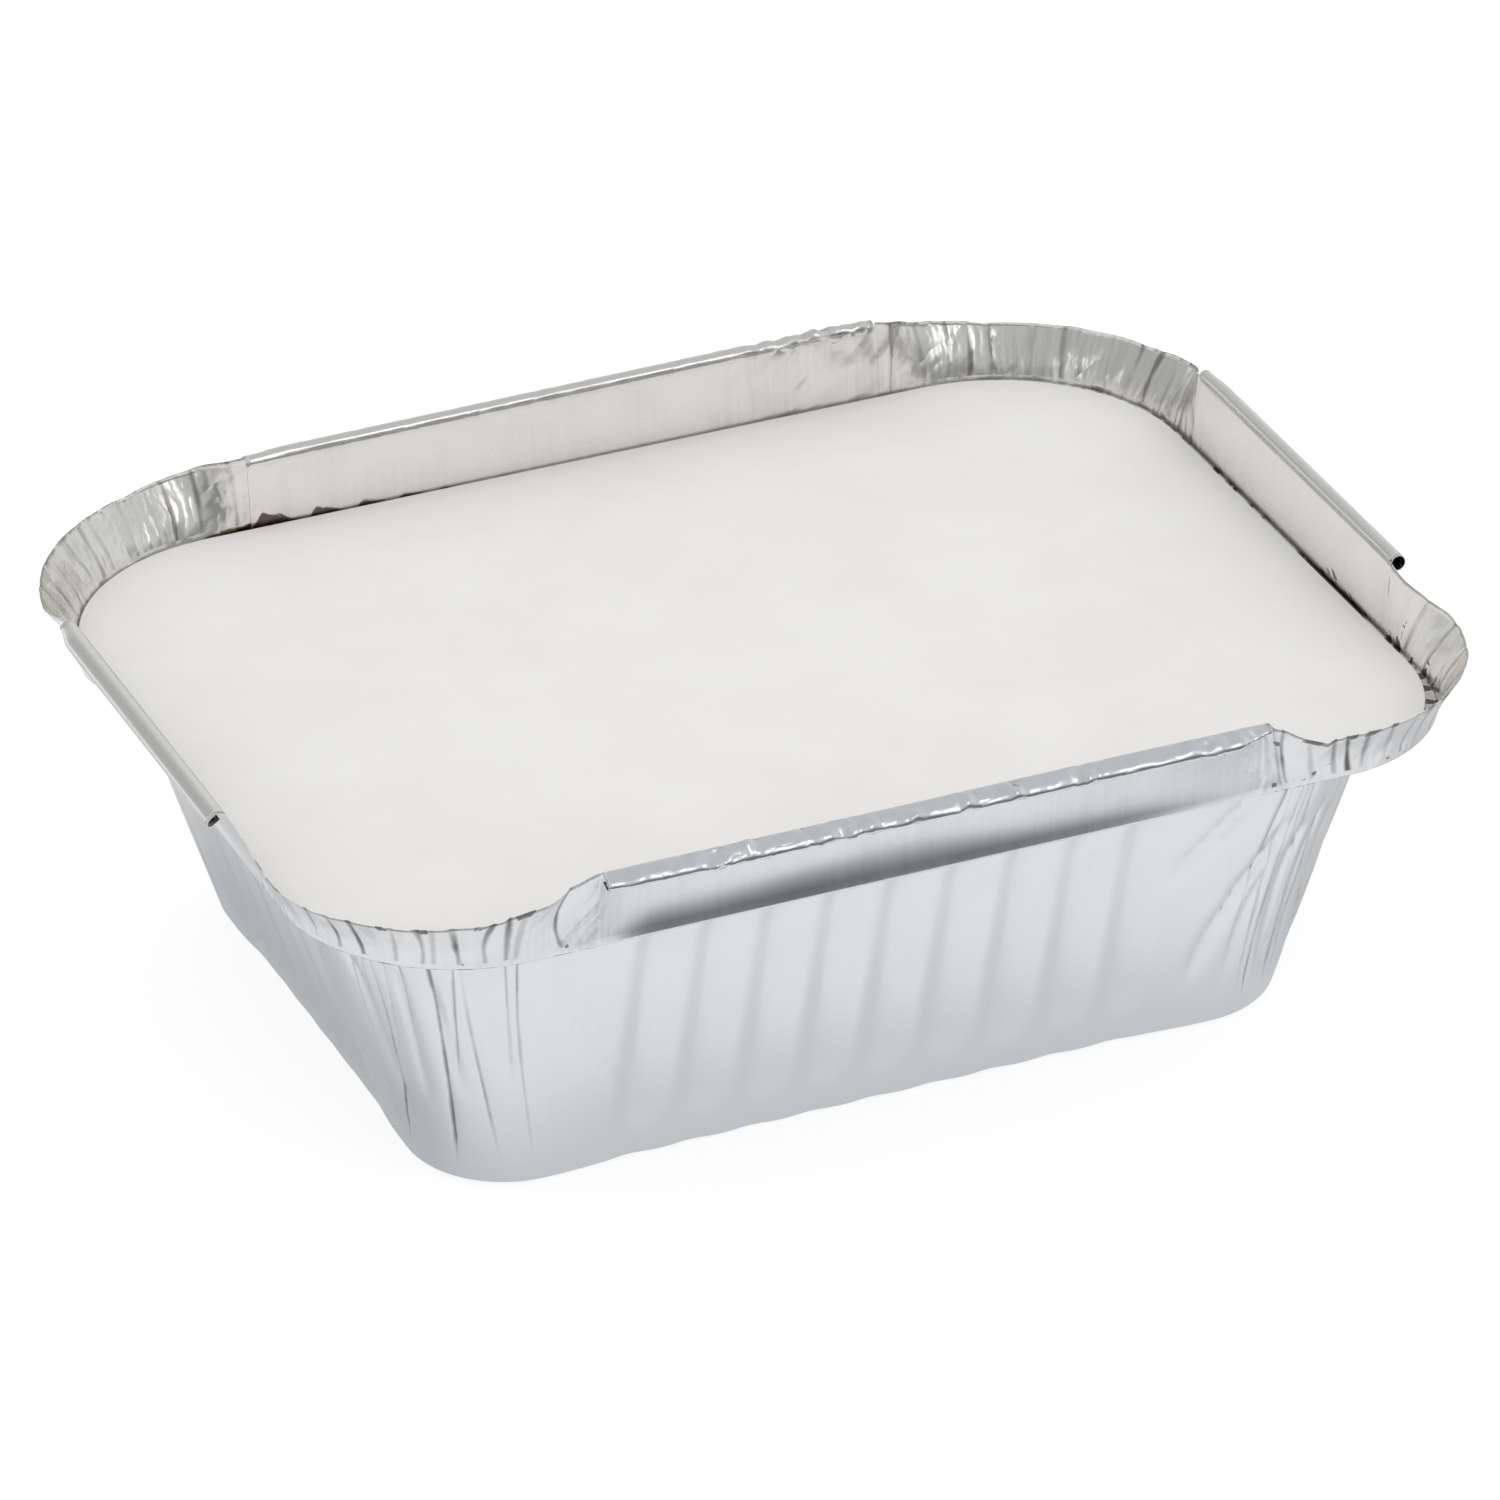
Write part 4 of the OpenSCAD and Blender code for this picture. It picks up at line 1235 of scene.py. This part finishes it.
def floor_material():
    """White floor: white to the camera but for a faint shadow, and in the foil a glowing pale table, a
    painted reflection, with painted shade close to the container, a dim room round it, a white sweep behind,
    and painted shade beside the left wall and at the right corner."""
    material, n = new_material("floor_white")
    material.cycles.emission_sampling = "NONE"
    path = n.add("LightPath").outputs
    place = n.add("TexCoord").outputs["Object"]
    across, deep = n.split(place)["X"], n.split(place)["Y"]
    # The table's glow, darker close to the container, is a painted reflection with painted shade
    away = table_distance(n, place)
    table = grey_ramp(n, n.span(away, 0, 6), [(d / 6, level) for d, level in TABLE_GLOW_LEVELS], TABLE_TINT)
    swept = n.blend(n.span(deep, *SWEEP_FROM), table, (*SWEEP_COLOUR, 1))
    # Painted shade on the glowing table beside the left wall and at the right corner
    beside = n.math("MULTIPLY", n.span(across, *LEFT_SHADE_STRIP[0]), n.span(deep, *LEFT_SHADE_STRIP[1]))
    left_shade_share = n.math("MULTIPLY", beside, n.span(away, *LEFT_SHADE_STRIP[2]))
    left_shade_level = n.math("MULTIPLY_ADD", left_shade_share, -TABLE_LEFT_SHADE, 1)
    corner = n.math("MULTIPLY", n.span(across, *RIGHT_SHADE_PLACE[0]), n.span(deep, *RIGHT_SHADE_PLACE[1]))
    level = n.math("MULTIPLY", left_shade_level, n.span(corner, 0, 1, 1, 1 - TABLE_RIGHT_SHADE))
    painted_table_glow = n.add("Emission", Color=swept, Strength=level).outputs["Emission"]
    matt = n.add("BsdfDiffuse", Color=(0.8, 0.8, 0.8, 1)).outputs["BSDF"]
    shadowed = n.add("BsdfDiffuse", Color=(0.3, 0.3, 0.3, 1)).outputs["BSDF"]
    glow = n.add("Emission", Color=(1, 1, 1, 1), Strength=FLOOR_GLOW).outputs["Emission"]
    seen = n.in_turn(n.add("AddShader"), (shadowed, glow))
    mirror_or_matt = n.pick(path["Is Glossy Ray"], matt, painted_table_glow)
    n.add("OutputMaterial", Surface=n.pick(path["Is Camera Ray"], mirror_or_matt, seen))
    return material


def studio_world():
    """White to the camera, even light for matt surfaces, and in the foil a room that is dim at the front."""
    world = bpy.data.worlds.new("studio")
    bpy.context.scene.world = world
    world.use_nodes = True
    n = Nodes(world.node_tree)
    path = n.add("LightPath").outputs
    way = n.split(n.add("TexCoord").outputs["Generated"])
    front, back, left, right = [grey_ramp(n, way["Z"], levels) for levels in ROOM_LEVELS]
    room = n.blend(n.span(way["X"], *ROOM_RIGHT_FROM), back, right)
    room = n.blend(n.span(way["X"], *ROOM_LEFT_FROM), room, left)
    room = n.blend(n.span(way["Y"], *ROOM_FRONT_FROM), room, front)
    mirror = n.add("Background", Color=room, Strength=1.0).outputs["Background"]
    even = n.add("Background", Color=(1, 1, 1, 1), Strength=EVEN_LIGHT).outputs["Background"]
    white = n.add("Background", Color=(1, 1, 1, 1), Strength=1.0).outputs["Background"]
    mirror_or_even = n.pick(path["Is Glossy Ray"], even, mirror)
    n.add("OutputWorld", Surface=n.pick(path["Is Camera Ray"], mirror_or_even, white))


def softbox(name, spot, width, height, glow):
    """A rectangular softbox at a spot, turned to the container, whose face glows with that radiance."""
    lamp = bpy.data.lights.new(name, "AREA")
    lamp.shape = "RECTANGLE"
    lamp.size = width
    lamp.size_y = height
    lamp.energy = glow * math.pi * width * height
    holder = bpy.data.objects.new(name, lamp)
    holder.location = spot
    holder.rotation_euler = (LAMP_TARGET - Vector(spot)).to_track_quat("-Z", "Y").to_euler()
    bpy.context.scene.collection.objects.link(holder)


def camera():
    """The camera at the photograph's viewing angle: its axes from azimuth, elevation and roll."""
    az, el, roll = CAMERA_AZIMUTH, CAMERA_ELEVATION, CAMERA_ROLL
    back = Vector((math.sin(az) * math.cos(el), -math.cos(az) * math.cos(el), math.sin(el)))
    level = Vector((math.cos(az), math.sin(az), 0))
    upright = back.cross(level)
    right = math.cos(roll) * level + math.sin(roll) * upright
    up = -math.sin(roll) * level + math.cos(roll) * upright
    spot = right * CAMERA_RIGHT + up * CAMERA_UP + back * CAMERA_DISTANCE + Vector((0, 0, card_high.z))
    data = bpy.data.cameras.new("camera")
    data.sensor_width = SENSOR
    data.lens = SENSOR * FOCAL_PIXELS / IMAGE_PIXELS
    data.clip_start = 0.05
    data.clip_end = 50
    holder = bpy.data.objects.new("camera", data)
    holder.matrix_world = Matrix.Translation(spot) @ Matrix((right, up, back)).transposed().to_4x4()
    bpy.context.scene.collection.objects.link(holder)
    bpy.context.scene.camera = holder


def stage():
    """A broad pale floor just under the container."""
    signs = np.array([[-1, -1, 0], [1, -1, 0], [1, 1, 0], [-1, 1, 0]], float)
    floor = new_mesh("floor", signs * FLOOR_SIDE - [0, 0, FLOOR_DROP], halves(np.array([[0, 1, 2, 3]])))
    floor.data.materials.append(floor_material())


camera()
studio_world()
softbox("front_softbox", (0.33, -0.71, 0.78), 0.26, 0.42, 1.5)
softbox("left_softbox", (-0.85, -0.35, 0.5), 0.18, 0.18, 1.4)
stage()

foil = foil_sheet()
# The inside's warm tone is partly a painted reflection of the card; each finish's second colour is that of
# its painted shade
bright = foil_material("foil_bright", (0.88, 0.866, 0.838), (0.16, 0.135, 0.105), 0.26, 0.07, inside=True)
satin = foil_material("foil_satin", (0.86, 0.862, 0.868), (0.13, 0.13, 0.13), 0.25, 0.14)
cut = foil_material("foil_edge", (0.9, 0.9, 0.89), (0.05, 0.05, 0.05), 0.5, 0.02, metallic=0.3)
for finish in (bright, satin, cut):
    foil.data.materials.append(finish)
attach(foil, "root")
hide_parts("foil_tray")

card = card_sheet()
card.data.materials.append(card_material())
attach(card, "root")
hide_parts("card_lid")

scene = bpy.context.scene
scene.view_settings.view_transform = "Standard"
